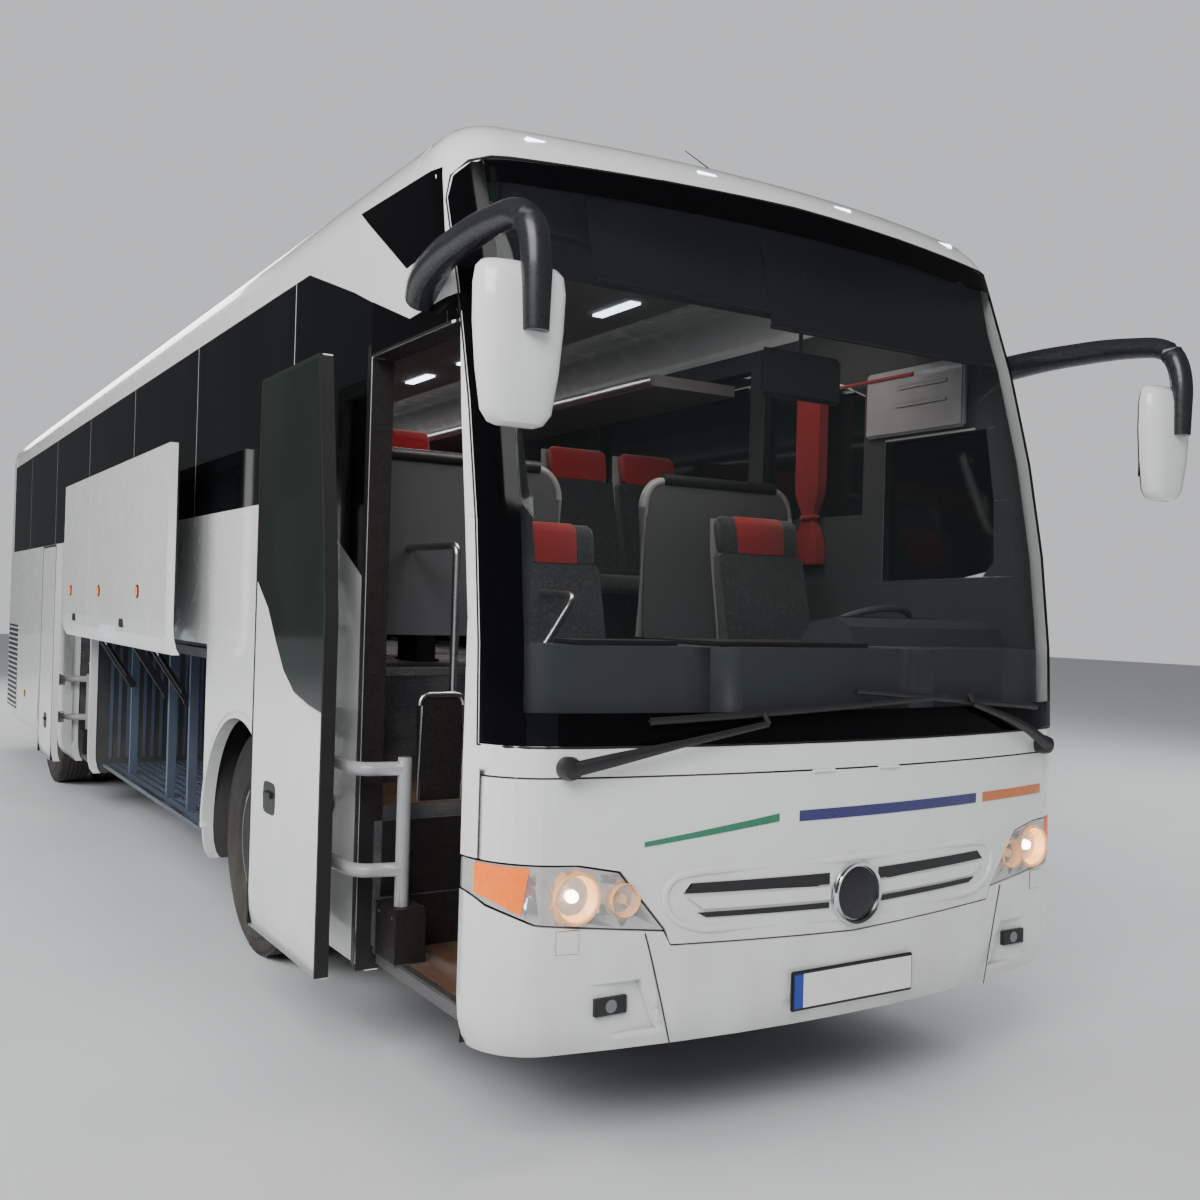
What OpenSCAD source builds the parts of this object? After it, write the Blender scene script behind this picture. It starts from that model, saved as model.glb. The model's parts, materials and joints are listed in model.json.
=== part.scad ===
// Two-axle high-floor passenger coach, standing with its right-hand doors and luggage flaps open.
// Front faces -Y, the driver sits on the +X side, and the origin is on the ground under the middle.
// Distances called d run backwards from the front of the body.

/* [Body] */
// Overall body length
body_len = 12140; // [11900:10:12400]
// Overall body width
body_w = 2550; // [2530:5:2570]
// Height of the roof above the ground
roof_z = 3310; // [3290:5:3340]
// Height of the skirt's lower edge
skirt_z = 340; // [325:5:350]
// Thickness of the side, front and rear walls
wall = 50; // [46:1:52]
// Radius of the roof edges
roof_edge_r = 240; // [225:5:245]
// Radius of the front and rear corners in plan
corner_r = 250; // [248:1:256]
// Radius of the bow of the front in plan
front_bow = 5080; // [4800:20:5600]
// Radius of the windscreen in side view
screen_r = 4700; // [4500:20:5200]
// Radius of the bow of the rear in plan
rear_bow = 12000; // [10000:100:14000]
// Height of the seam above the luggage flaps
seam_z = 1434; // [1425:1:1445]
// Height of the window band's lower edge
belt_z = 2100; // [2080:5:2120]
// Height of the window band's upper edge
band_z = 3010; // [2990:5:3020]
// Thickness of the glass
glass_t = 8; // [6:0.5:10]
// Gap round doors, lids and lamps
gap = 6; // [5:0.5:7]

/* [Axles and wheels] */
// Distance from the front of the body to the front axle
front_overhang = 2770; // [2750:5:2790]
// Distance between the axles
wheelbase = 6080; // [6040:5:6110]
// Outer radius of the tyres
tyre_r = 522; // [516:1:526]
// Width of one tyre
tyre_w = 295; // [285:1:300]
// Radius of the rims at the tyre's bead
bead_r = 286; // [280:1:292]
// Distance from the centre line to the middle of a front wheel
front_track = 1048; // [1042:1:1052]
// Distance from the centre line to the middle between the twin wheels
rear_track = 920; // [915:1:925]
// Distance between the middles of the twin tyres
twin_pitch = 330; // [324:1:336]
// Radius of the wheel arches
arch_r = 600; // [596:1:610]
// Distance from the centre line to the kingpins
kingpin_x = 930; // [924:1:936]
// Greatest turn of the front wheels to either side
steer_max = 45; // [35:1:45]

/* [Front door] */
// Distance from the front of the body to the opening's front edge
door_d = 352; // [348:1:356]
// Width of the opening
door_w = 844; // [836:1:850]
// Height of the opening's upper edge
door_top = 2556; // [2540:2:2566]
// Thickness of the door leaves
leaf_t = 46; // [42:1:48]
// Outward shift of the open leaf
door_out = 185; // [175:1:195]
// Rearward shift of the open leaf
door_back = 730; // [710:2:740]
// Distance from the front of the body to the post that carries the arms
door_post_d = 1040; // [1034:1:1046]

/* [Middle door] */
// Distance from the front of the body to the opening's front edge
mid_d = 6794; // [6790:1:6798]
// Width of the opening
mid_w = 732; // [724:1:738]
// Height of the opening's upper edge
mid_top = 2060; // [2040:2:2070]
// Outward shift of the open leaf
mid_out = 175; // [165:1:185]
// Rearward shift of the open leaf
mid_back = 545; // [535:1:555]

/* [Luggage bays] */
// Distance from the front of the body to the bays' front edge
bay_d = 3400; // [3400:2:3410]
// Distance from the front of the body to the seam between the two flaps
bay_split = 5680; // [5600:10:5740]
// Distance from the front of the body to the bays' rear edge
bay_end = 6740; // [6730:2:6746]
// Thickness of the flaps
flap_t = 40; // [36:1:44]
// Length of the levers that carry the flaps
lever = 565; // [560:1:568]
// Angle of the levers below the horizontal when the flaps are shut
lever_shut = 80; // [79:0.5:81]
// Angle of the levers above the horizontal when the flaps are open
lever_open = 57; // [56:0.5:58]
// Height of the levers' pins on the body
lever_z = 1050; // [1046:1:1054]
// Gap above the shut flaps
flap_gap = 14; // [13:1:18]

/* [Inside] */
// Height of the driver's floor
cab_z = 930; // [920:5:940]
// Height of the passenger floor
deck_z = 1400; // [1395:1:1410]
// Thickness of the passenger floor
deck_t = 50; // [46:1:54]
// Distance from one seat row to the next
row_pitch = 790; // [770:5:800]
// Distance from the front of the body to the first seat row
row_d = 2250; // [2240:5:2270]
// Distance from the front of the body to the passenger floor's front edge
deck_d = 1730; // [1720:1:1750]

/* [Hidden] */
$fn = 48;
mirror_reach = 205;
half_w = body_w / 2;
front_y = (mirror_reach - body_len) / 2;
rear_y = front_y + body_len;
front_axle_y = front_y + front_overhang;
rear_axle_y = front_axle_y + wheelbase;
axle_z = tyre_r;
edge_x = half_w - roof_edge_r;
edge_z = roof_z - roof_edge_r;
nose_len = 880;
tail_len = 620;
tail_d = body_len - tail_len;
bay_floor_z = skirt_z + 50;
deck_end = tail_d + 80;
mid_post_d = mid_d + 606;
seat_gap = 0.3;

white = "whitesmoke";
black = "#1c1c1e";
grey = "#77787c";
steel = "#9a9ca0";

// Place along Y of a distance behind the front
function fy(d) = front_y + d;
// Points along an arc, from angle a0 to a1 in n steps
function arc(cx, cy, r, a0, a1, n) =
    [for (k = [0 : n]) let (a = a0 + (a1 - a0) * k / n) [cx + r * cos(a), cy + r * sin(a)]];
function reversed(p) = [for (k = [len(p) - 1 : -1 : 0]) p[k]];
function sides(p) = concat(p, [for (q = reversed(p)) [-q[0], q[1]]]);

// Bowed end seen from above, i mm inside the skin: side, corner, bow, corner, side
function corner_c(bow) = bow - sqrt(pow(bow - corner_r, 2) - pow(half_w - corner_r, 2));
function corner_turn(bow) = asin((half_w - corner_r) / (bow - corner_r));
function half_outline(bow, i, end) =
    let (t = corner_turn(bow), bow_arc = arc(0, bow, bow - i, t - 90, -90, 5)) concat(
    [[half_w - i, end]],
    arc(half_w - corner_r, corner_c(bow), corner_r - i, 0, t - 90, 8),
    [for (k = [1 : 4]) bow_arc[k]]);
function outline(bow, i, end, half) = let (h = half_outline(bow, i, end))
    concat(h, [[0, i]], half ? [[0, end]] : [for (q = reversed(h)) [-q[0], q[1]]]);

// Rows of an end, i mm inside the skin: height, set back, inset
function tuck_rows(i) = [[skirt_z - (i > 0 ? 2 : 0), 0, 38 + i], [skirt_z + 35, 0, 18 + i],
    [skirt_z + 90, 0, 5 + i], [skirt_z + 160, 0, i]];
function edge_rows(i) = [for (a = [0 : 15 : 90])
    [edge_z + (roof_edge_r - i) * sin(a), 0, i + (roof_edge_r - i) * (1 - cos(a))]];
lean_z = 1200;
function front_back(z) = z < lean_z ? 0 : z < edge_z ? pow(z - lean_z, 2) / (2 * screen_r)
    : pow(edge_z - lean_z, 2) / (2 * screen_r) + (edge_z - lean_z) / screen_r * (z - edge_z);
rear_lean_z = 1500;
function rear_back(z) = z < rear_lean_z ? 0 : (z - rear_lean_z) * 0.05;
front_levels = [lean_z, 1560, 1930, 2300, 2680];
rear_levels = [rear_lean_z, 1700];
function front_rows(i) = [for (w = concat(tuck_rows(i), [for (z = front_levels) [z, 0, i]], edge_rows(i)))
    [w[0], front_back(w[0]), w[2]]];
function rear_rows(i) = [for (w = concat(tuck_rows(i), [for (z = rear_levels) [z, 0, i]], edge_rows(i)))
    [w[0], rear_back(w[0]), w[2]]];

// Solid end of the body, swept through the rows up to the height top; half is its +X half
module swept_end(all_rows, bow, end, top, half) {
    levels = [for (w = all_rows) if (w[0] <= top) w];
    n = len(levels);
    m = len(outline(bow, 0, end, half));
    polyhedron(
        [for (w = levels) for (p = outline(bow, w[2], end - w[1], half)) [p[0], p[1] + w[1], w[0]]],
        concat(
            [for (i = [0 : n - 2], j = [0 : m - 2]) [i * m + j, i * m + j + 1, (i + 1) * m + j + 1, (i + 1) * m + j]],
            [[for (j = [m - 1 : -1 : 0]) j]],
            [[for (j = [0 : m - 1]) (n - 1) * m + j]],
            [concat([for (i = [0 : n - 1]) i * m], [for (i = [n - 1 : -1 : 0]) i * m + m - 1])]),
        convexity = 6);
}
module nose(i, top = roof_z, half = false) {
    translate([0, front_y, 0]) swept_end(front_rows(i), front_bow, nose_len + max(i, 0), top, half);
}
module tail(i, top = roof_z, half = false) {
    translate([0, rear_y, 0]) mirror([0, 1, 0]) swept_end(rear_rows(i), rear_bow, tail_len + max(i, 0), top, half);
}
// Skin from i to j mm inside the surface
module nose_skin(i, j, top = roof_z, half = false) {
    difference() {
        nose(i, top, half);
        nose(j, top, half);
    }
}
module tail_skin(i, j, top = roof_z, half = false) {
    difference() {
        tail(i, top, half);
        tail(j, top, half);
    }
}
// Side wall in cross-section, from i to j mm inside the skin
function side_line(i) = [[half_w - 38 - i, skirt_z], [half_w - 18 - i, skirt_z + 35],
    [half_w - 5 - i, skirt_z + 90], [half_w - i, skirt_z + 160], [half_w - i, edge_z]];
module side_strip(i, j, d0, d1) {
    translate([0, fy(d1), 0]) rotate([90, 0, 0]) linear_extrude(d1 - d0)
        polygon(concat(side_line(i), reversed(side_line(j))));
}

// Block from corner a to corner b, and one drawn in by half a seat gap so that neighbours stay apart
module block(a, b) { translate(a) cube(b - a); }
module plank(a, b) { block(a + seat_gap / 2 * [1, 1, 1], b - seat_gap / 2 * [1, 1, 1]); }
// Zone drawn in front view (X, Z), from the front back to d1
module front_zone(pts, d0 = -200, d1 = 900) {
    translate([0, fy(d1), 0]) rotate([90, 0, 0]) linear_extrude(d1 - d0) polygon(pts);
}
// Zone drawn in side view (d, Z), from x0 to x1
module side_zone(pts, x0, x1) {
    translate([x0, front_y, 0]) rotate([90, 0, 90]) linear_extrude(x1 - x0) polygon(pts);
}
module both() {
    children();
    mirror([1, 0, 0]) children();
}
function unit(v) = v / norm(v);
// Path through points, its corners rounded from t mm away
function rounded_path(p, t) = concat([p[0]],
    [for (k = [1 : len(p) - 2], c = [0 : 3])
        let (a = p[k] + t * unit(p[k - 1] - p[k]), b = p[k] + t * unit(p[k + 1] - p[k]), e = c / 3)
        a * (1 - e) * (1 - e) + p[k] * 2 * e * (1 - e) + b * e * e],
    [p[len(p) - 1]]);
// Solid over rings of as many points each
module loft(rings) {
    n = len(rings);
    m = len(rings[0]);
    polyhedron([for (r = rings, q = r) q],
        concat(
            [for (k = [0 : n - 2], j = [0 : m - 1]) [k * m + j, (k + 1) * m + j, (k + 1) * m + (j + 1) % m, k * m + (j + 1) % m]],
            [[for (j = [0 : m - 1]) j]],
            [[for (j = [m - 1 : -1 : 0]) (n - 1) * m + j]]),
        convexity = 4);
}
// Tube of radius r swept along points; side is a direction across the whole path
module tube(pts, r, side, bend = 40) {
    p = len(pts) > 2 ? rounded_path(pts, bend) : pts;
    n = len(p);
    loft([for (k = [0 : n - 1])
        let (t = unit(p[min(k + 1, n - 1)] - p[max(k - 1, 0)]), u = unit(side - (side * t) * t), w = cross(t, u))
        [for (j = [0 : 9]) p[k] + r * (cos(36 * j) * u + sin(36 * j) * w)]]);
}

// Lines where the front panels meet, right half of the front view
lamp_line = [[729, 700], [880, 880], [1010, 905], [1310, 915], [1310, 862], [1240, 790], [1130, 740]];
lid_z = 1165;
lid_side = 1250;
lid_half = [[0, 632], [700, 655], [722, 702], [874, 886], [1008, 911], [lid_side, 920], [lid_side, lid_z]];
bumper_half = [[0, 626], [704, 649], [729, 694], [1132, 734], [1244, 784], [1310, 856], [1310, 200]];
screen_bottom = 1262;
screen_half = [[1232, screen_bottom], [1232, 3010], [1214, 3076], [1165, 3108], [0, 3130]];
screen_line = concat(screen_half, [for (q = reversed(screen_half)) if (q[0] > 0) [-q[0], q[1]]]);
lip = 55;

// Edge of the front pillar in side view, and the front door's outline with clearance g
function pillar_line(g) = [[door_d + g, skirt_z - 50], [door_d + g, 1630], [door_d + 38 + g, 1940],
    [door_d + 132 + g, door_top - g]];
function door_line(g) = concat(pillar_line(g), [[door_d + door_w - g, door_top - g],
    [door_d + door_w - g, skirt_z - 50]]);
sill_z = 365;

// Front frame round the windscreen, with the brow and the front pillars
// Place of the nose's surface at x, z behind the front, away from the corners
function nose_d(x, z) = front_bow - sqrt(pow(front_bow, 2) - x * x) + front_back(z);
module front_mask() {
    color(white) difference() {
        nose_skin(0, wall);
        front_zone([[-1400, 200], [1400, 200], [1400, 921], [lid_side + gap, 921], [lid_side + gap, lid_z + gap],
            [-lid_side - gap, lid_z + gap], [-lid_side - gap, 921], [-1400, 921]], -200, 1000);
        intersection() {
            nose_skin(-20, glass_t + 0.3);
            front_zone(screen_line, -200, nose_len);
        }
        translate([0, fy(nose_len - 100), 0]) rotate([90, 0, 0]) linear_extrude(nose_len + 100)
            offset(delta = -lip) polygon(screen_line);
        side_zone(concat(pillar_line(0), [[1000, door_top], [1000, skirt_z - 50]]), -2000, 2000);
        // Joints of the pillar's covers beside the door
        for (z = [1630, 1940, door_top]) block([-half_w - 1, front_y, z], [-screen_half[0][0] + lip, fy(nose_len), z + seat_gap]);
    }
}
module windscreen() {
    color([0.2, 0.22, 0.24, 0.5]) intersection() {
        nose_skin(0, glass_t);
        translate([0, fy(nose_len), 0]) rotate([90, 0, 0]) linear_extrude(nose_len + 200)
            offset(delta = -3) polygon(screen_line);
    }
}
plate_z = 463;
plate_pad = 6;
module front_bumper() {
    color(white) difference() {
        union() {
            intersection() {
                nose_skin(0, wall, lean_z);
                front_zone(sides(bumper_half), -200, door_d);
            }
            for (s = [-1, 1]) block([s * 230 - 30, fy(-plate_pad), plate_z - 25], [s * 230 + 30, fy(30), plate_z + 25]);
        }
        for (s = [-1, 1]) {
            // Recess and hole of the fog lamp
            front_zone([for (q = [[737, 400], [1030, 392], [1054, 470], [1020, 550], [800, 558]]) [s * q[0], q[1]]],
                -200, 95);
            translate([s * 230, fy(-10), plate_z]) rotate([-90, 0, 0]) cylinder(r = 3, h = 100, $fn = 24);
            // Seam between the middle and the corner of the bumper
            front_zone([[s * 690, 300], [s * 696, 300], [s * 790, 700], [s * 784, 700]], -200, 62);
        }
    }
}
module nose_lid() {
    color(white) difference() {
        intersection() {
            nose_skin(0, 12, lean_z);
            front_zone(sides(lid_half), -200, nose_len);
        }
        for (s = [-1, 1]) front_zone([for (q = [[150, 788], [660, 812], [640, 836], [150, 812]]) [s * q[0], q[1]]]);
    }
    color(black) for (s = [-1, 1]) translate([s * 100, front_y + 1, lid_z]) rotate([0, 90 * s, 0])
        cylinder(r = gap - seat_gap, h = 90);
}
// Lamp bucket with two round reflectors and an indicator
module headlamps() {
    color(grey) both() difference() {
        intersection() {
            nose_skin(6, 130, lean_z, true);
            front_zone(lamp_line, -200, door_d - 5);
        }
        for (q = [[860, 800, 52, 60], [1010, 812, 70, 95], [1170, 850, 40, 165]])
            translate([q[0], fy(q[3] + 40), q[1]]) rotate([90, 0, 0]) cylinder(r = q[2], h = 400);
    }
}
module headlamp_covers() {
    color([0.9, 0.9, 0.92, 0.4]) both() intersection() {
        nose_skin(0, 6 - seat_gap, lean_z, true);
        front_zone(lamp_line, -200, door_d - 5);
    }
}

// Wheel arch cut, open to the ground
module arch(y) {
    translate([-2000, y, axle_z - 12]) rotate([0, 90, 0]) cylinder(r = arch_r, h = 4000, $fn = 96);
    block([-2000, y - arch_r, -100], [2000, y + arch_r, axle_z - 12]);
}
module arch_lip(y) {
    intersection() {
        translate([half_w - 6, y, axle_z - 12]) rotate([0, 90, 0]) difference() {
            cylinder(r = arch_r + 34, h = 16, $fn = 96);
            translate([0, 0, -1]) cylinder(r = arch_r, h = 18, $fn = 96);
        }
        block([0, y - 800, skirt_z + 160], [2000, y + 800, 2000]);
    }
}
// Panes of a side: start, end and then the upper edge's and lower edge's own points
pane_d = concat([for (k = [0 : 5]) 2100 + 1650 * k], [tail_d + 120]);
wave = [[1930, band_z], [1400, 2830], [1208, 2755]];
dip = [[1208, 1748], [1384, 1841], [1479, 1891], [1650, 2010], [1900, belt_z]];
function pane(k) = [[pane_d[k] + gap / 2, belt_z], [pane_d[k + 1] - gap / 2, belt_z],
    [pane_d[k + 1] - gap / 2, band_z], [pane_d[k] + gap / 2, band_z]];
first_pane = concat(dip, [[pane_d[0] - gap / 2, belt_z], [pane_d[0] - gap / 2, band_z]], wave);
cab_pane = [[door_d + 150, 2540], [door_d + 80, 2120], [door_d + 80, 1900], [1202, 1752], [1202, 2540]];
cab_window = [[560, 2480], [510, 2170], [500, 1850], [1150, 1835], [1150, 2480]];

// Side wall with windows cut, up to the roof's edge; the +X side
module side_plate(d0) {
    difference() {
        union() {
            side_strip(0, wall, d0, tail_d);
            arch_lip(front_axle_y);
            arch_lip(rear_axle_y);
        }
        arch(front_axle_y);
        arch(rear_axle_y);
        for (k = [0 : len(pane_d) - 2]) {
            side_zone(pane(k), half_w - glass_t - 0.3, 2000);
            side_zone([[pane_d[k] + 60, belt_z + 50], [pane_d[k + 1] - 60, belt_z + 50],
                [pane_d[k + 1] - 60, band_z - 50], [pane_d[k] + 60, band_z - 50]], 1000, 2000);
        }
        side_zone(first_pane, half_w - glass_t - 0.3, 2000);
        side_zone([[1290, belt_z + 50], [pane_d[0] - 60, belt_z + 50], [pane_d[0] - 60, band_z - 70],
            [1900, band_z - 70], [1400, 2760], [1290, 2710]], 1000, 2000);
        // Luggage bays
        block([1000, fy(bay_d), 200], [2000, fy(bay_end), seam_z]);
    }
}
// Thin joints between the panels of a side
module panel_joints() {
    block([1000, front_y, mid_top], [2000, fy(tail_d + 1), mid_top + seat_gap]);
    for (d = [bay_d, mid_d]) block([1000, fy(d) - seat_gap, 200], [2000, fy(d), mid_top]);
    block([1000, fy(bay_end - 1), seam_z], [2000, fy(mid_d), seam_z + seat_gap]);
}
module side_right() {
    color(white) mirror([1, 0, 0]) difference() {
        side_plate(door_d + door_w);
        block([1000, fy(mid_d), 200], [2000, fy(mid_d + mid_w), mid_top]);
        panel_joints();
    }
    color(white) mirror([1, 0, 0]) intersection() {
        side_strip(0, wall, nose_len, door_d + door_w - seat_gap);
        block([1000, front_y, door_top], [2000, fy(2000), 4000]);
    }
}
module side_left() {
    color(white) difference() {
        union() {
            side_plate(door_d + door_w - 1);
            side_strip(0, wall, nose_len, door_d + door_w);
            intersection() {
                nose_skin(0, wall, roof_z, true);
                side_zone(concat(pillar_line(gap), [[nose_len, door_top - gap], [nose_len, 200]]), 1000, 2000);
            }
        }
        side_zone(cab_window, 1000, 2000);
        panel_joints();
        intersection() {
            cab_skin(-20, glass_t + seat_gap);
            side_zone(cab_pane, 1000, 2000);
        }
    }
}
// Skin of the left side from the front pillar to behind the driver
module cab_skin(i, j) {
    intersection() {
        nose_skin(i, j, roof_z, true);
        block([0, front_y - 100, 1500], [2000, fy(nose_len), 3000]);
    }
    side_strip(i, j, nose_len, door_d + door_w + 10);
}
module side_glass() {
    color([0.15, 0.16, 0.18, 0.6]) both() {
        for (k = [0 : len(pane_d) - 2]) side_zone(pane(k), half_w - glass_t, half_w);
        side_zone(first_pane, half_w - glass_t, half_w);
    }
    color([0.15, 0.16, 0.18, 0.6]) intersection() {
        cab_skin(0, glass_t);
        side_zone([for (p = cab_pane) [(p[0] - 820) * 0.994 + 820, (p[1] - 2150) * 0.994 + 2150]], 1000, 2000);
    }
}
module roof() {
    color(white) translate([0, fy(tail_d), 0]) rotate([90, 0, 0]) linear_extrude(tail_d - nose_len) difference() {
        union() {
            translate([-edge_x, edge_z]) square([2 * edge_x, roof_edge_r]);
            for (s = [-1, 1]) translate([s * edge_x, edge_z]) circle(roof_edge_r);
        }
        union() {
            translate([-edge_x, edge_z - 300]) square([2 * edge_x, 300 + roof_edge_r - wall]);
            for (s = [-1, 1]) translate([s * edge_x, edge_z]) circle(roof_edge_r - wall);
        }
        translate([-2000, edge_z - 2000]) square([4000, 2000]);
    }
}
// Air conditioner and two roof hatches
module roof_unit() {
    color(white) {
        difference() {
            translate([0, fy(8700), roof_z]) rotate([90, 0, 0]) linear_extrude(2900)
                polygon(sides([[860, 0], [900, 60], [860, 200], [700, 300], [0, 310]]));
            for (k = [0 : 3]) translate([0, fy(6500 + 560 * k), roof_z + 180]) cylinder(r = 210, h = 300);
        }
        for (d = [3000, 10200]) block([-420, fy(d), roof_z], [420, fy(d + 780), roof_z + 60]);
    }
}
rear_window = [[900, 2120], [980, 2200], [960, 2900], [880, 2980]];
function rear_seam(d) = skirt_z + (d - 9600) * 0.07;
engine_lid_line = [[860, 640], [900, 690], [900, 1560], [860, 1600]];
module rear_wall() {
    color(white) difference() {
        tail_skin(0, wall);
        side_zone([[9600, 0], [9600, skirt_z], [13000, rear_seam(13000)], [13000, 0]], -2000, 2000);
        translate([0, rear_y - tail_len, 0]) {
            for (p = [sides(rear_window)]) translate([0, 3000, 0]) rotate([90, 0, 0]) linear_extrude(3000)
                offset(delta = -40) polygon(p);
            translate([0, 3000, 0]) rotate([90, 0, 0]) linear_extrude(3000) polygon(sides(engine_lid_line));
        }
        intersection() {
            tail_skin(-20, glass_t + 0.3);
            translate([0, rear_y + 200, 0]) rotate([90, 0, 0]) linear_extrude(600) polygon(sides(rear_window));
        }
        // Band glass that turns the corner of the tail
        for (s = [-1, 1]) side_zone([[tail_d - 10, belt_z], [pane_d[6], belt_z], [pane_d[6], band_z],
            [tail_d - 10, band_z]], s > 0 ? half_w - glass_t - 0.3 : -2000, s > 0 ? 2000 : -half_w + glass_t + 0.3);
    }
}
module rear_glass() {
    color([0.15, 0.16, 0.18, 0.6]) intersection() {
        tail_skin(0, glass_t);
        translate([0, rear_y + 200, 0]) rotate([90, 0, 0]) linear_extrude(600)
            offset(delta = -3) polygon(sides(rear_window));
    }
}
module engine_lid() {
    color(white) difference() {
        intersection() {
            tail_skin(0, 25, 1700);
            translate([0, rear_y + 200, 0]) rotate([90, 0, 0]) linear_extrude(600)
                offset(delta = -gap) polygon(sides(engine_lid_line));
        }
        for (k = [0 : 9]) block([-700, rear_y - 200, 760 + 40 * k], [700, rear_y + 200, 780 + 40 * k]);
    }
    color(black) for (s = [-1, 1]) translate([s * 100, rear_y - rear_back(1600) - 2, 1600 - gap]) rotate([0, 90 * s, 0])
        cylinder(r = gap - seat_gap, h = 90);
}
module rear_lamps() {
    color("darkred") both() intersection() {
        tail_skin(-8, -0.3, 1700, true);
        translate([0, rear_y + 200, 0]) rotate([90, 0, 0]) linear_extrude(600)
            polygon([[1000, 760], [1190, 760], [1220, 820], [1220, 1500], [1180, 1560], [1000, 1560]]);
    }
}

// Rails, bulkheads and outriggers under the floor
rail_low = 720;
rail_top = 880;
module rail(s, d0, d1) { plank([s * 430 - 40, fy(d0), rail_low], [s * 430 + 40, fy(d1), rail_top]); }
// Upright wall across the body, inside the side walls
module cross_wall(d, t) {
    translate([0, fy(d + t), 0]) rotate([90, 0, 0]) linear_extrude(t - seat_gap)
        polygon(sides(concat([for (k = [0 : 3]) side_line(wall + 4)[k]], [[half_w - wall - 4, deck_z - deck_t - seat_gap]])));
}
bay_wall = 30;
jack_d = tail_d - 720;
module underframe() {
    color("#3a3b3e") {
        difference() {
            intersection() {
                nose_skin(wall + seat_gap, wall + 30, lean_z);
                front_zone([[-1200, 420], [1200, 420], [1200, 1150], [-1200, 1150]], -200, door_d - 12);
            }
            both() {
                translate([0, fy(500), 0]) rotate([90, 0, 0]) linear_extrude(700) offset(delta = seat_gap) polygon(lamp_line);
                translate([230, fy(40), plate_z]) rotate([-90, 0, 0]) cylinder(r = 6, h = 60, $fn = 24);
            }
        }
        // Legs behind the front wall that carry the driver's floor and the rails
        for (s = [-1, 1]) block([s * 330 - 39.8, fy(86), 560], [s * 330 + 39.8, fy(400), rail_top - seat_gap]);
        plank([-290, fy(200), rail_low], [290, fy(260), rail_top]);
        plank([370, fy(200), rail_low], [390, fy(400), rail_top]);
        rail(1, 200, bay_d - bay_wall - 5);
        rail(-1, door_d + door_w + 20, bay_d - bay_wall - 5);
        for (s = [-1, 1]) rail(s, bay_end + bay_wall + 5, tail_d + 180);
        for (d = [door_d + door_w + 20, 2000, bay_end + 900, 9700])
            plank([-390, fy(d), 740], [390, fy(d + 60), 860]);
        plank([-390, fy(tail_d + 120), 640], [390, fy(tail_d + 180), 860]);
        // Walls at both ends of the luggage bays, joined under their floor
        cross_wall(bay_d - bay_wall - 5, bay_wall);
        cross_wall(bay_end + 5, bay_wall);
        for (s = [-1, 1]) {
            plank([s * 430 - 40, fy(bay_d - 5), bay_floor_z - 40], [s * 430 + 40, fy(bay_end + 5), bay_floor_z]);
            // Wall ahead of the front wheel and its bracket
            plank([s * 928 - 288, fy(2010), 425], [s * 928 + 288, fy(2045), deck_z - deck_t]);
            plank([min(s * 470, s * 640), fy(2010), 740], [max(s * 470, s * 640), fy(2045), 860]);
            // Jacking pad
            plank([s * 430 - 38, fy(jack_d), 700], [s * 430 + 38, fy(jack_d + 100), rail_low]);
        }
        // Carriers of the passenger floor ahead of and behind the bays
        for (s = [-1, 1], d = [2300, 8000, 9900, tail_d - 20])
            plank([s * 430 - 30, fy(d), rail_top], [s * 430 + 30, fy(d + 60), deck_z - deck_t]);
        // Tow jaw under the tail
        difference() {
            block([-60, fy(tail_d + 180.3), 560], [60, fy(body_len - 150), 740]);
            block([-70, fy(tail_d + 360), 620], [70, fy(body_len), 680]);
            translate([0, fy(tail_d + 420), 500]) cylinder(r = 20, h = 300);
        }
    }
}
stair_x = 640;
drive_z = 600;
door_pins = [732, 1087];
mid_pins = [700, 1000];
post_x = -half_w + 105;
step_z = sill_z + 40;
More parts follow.
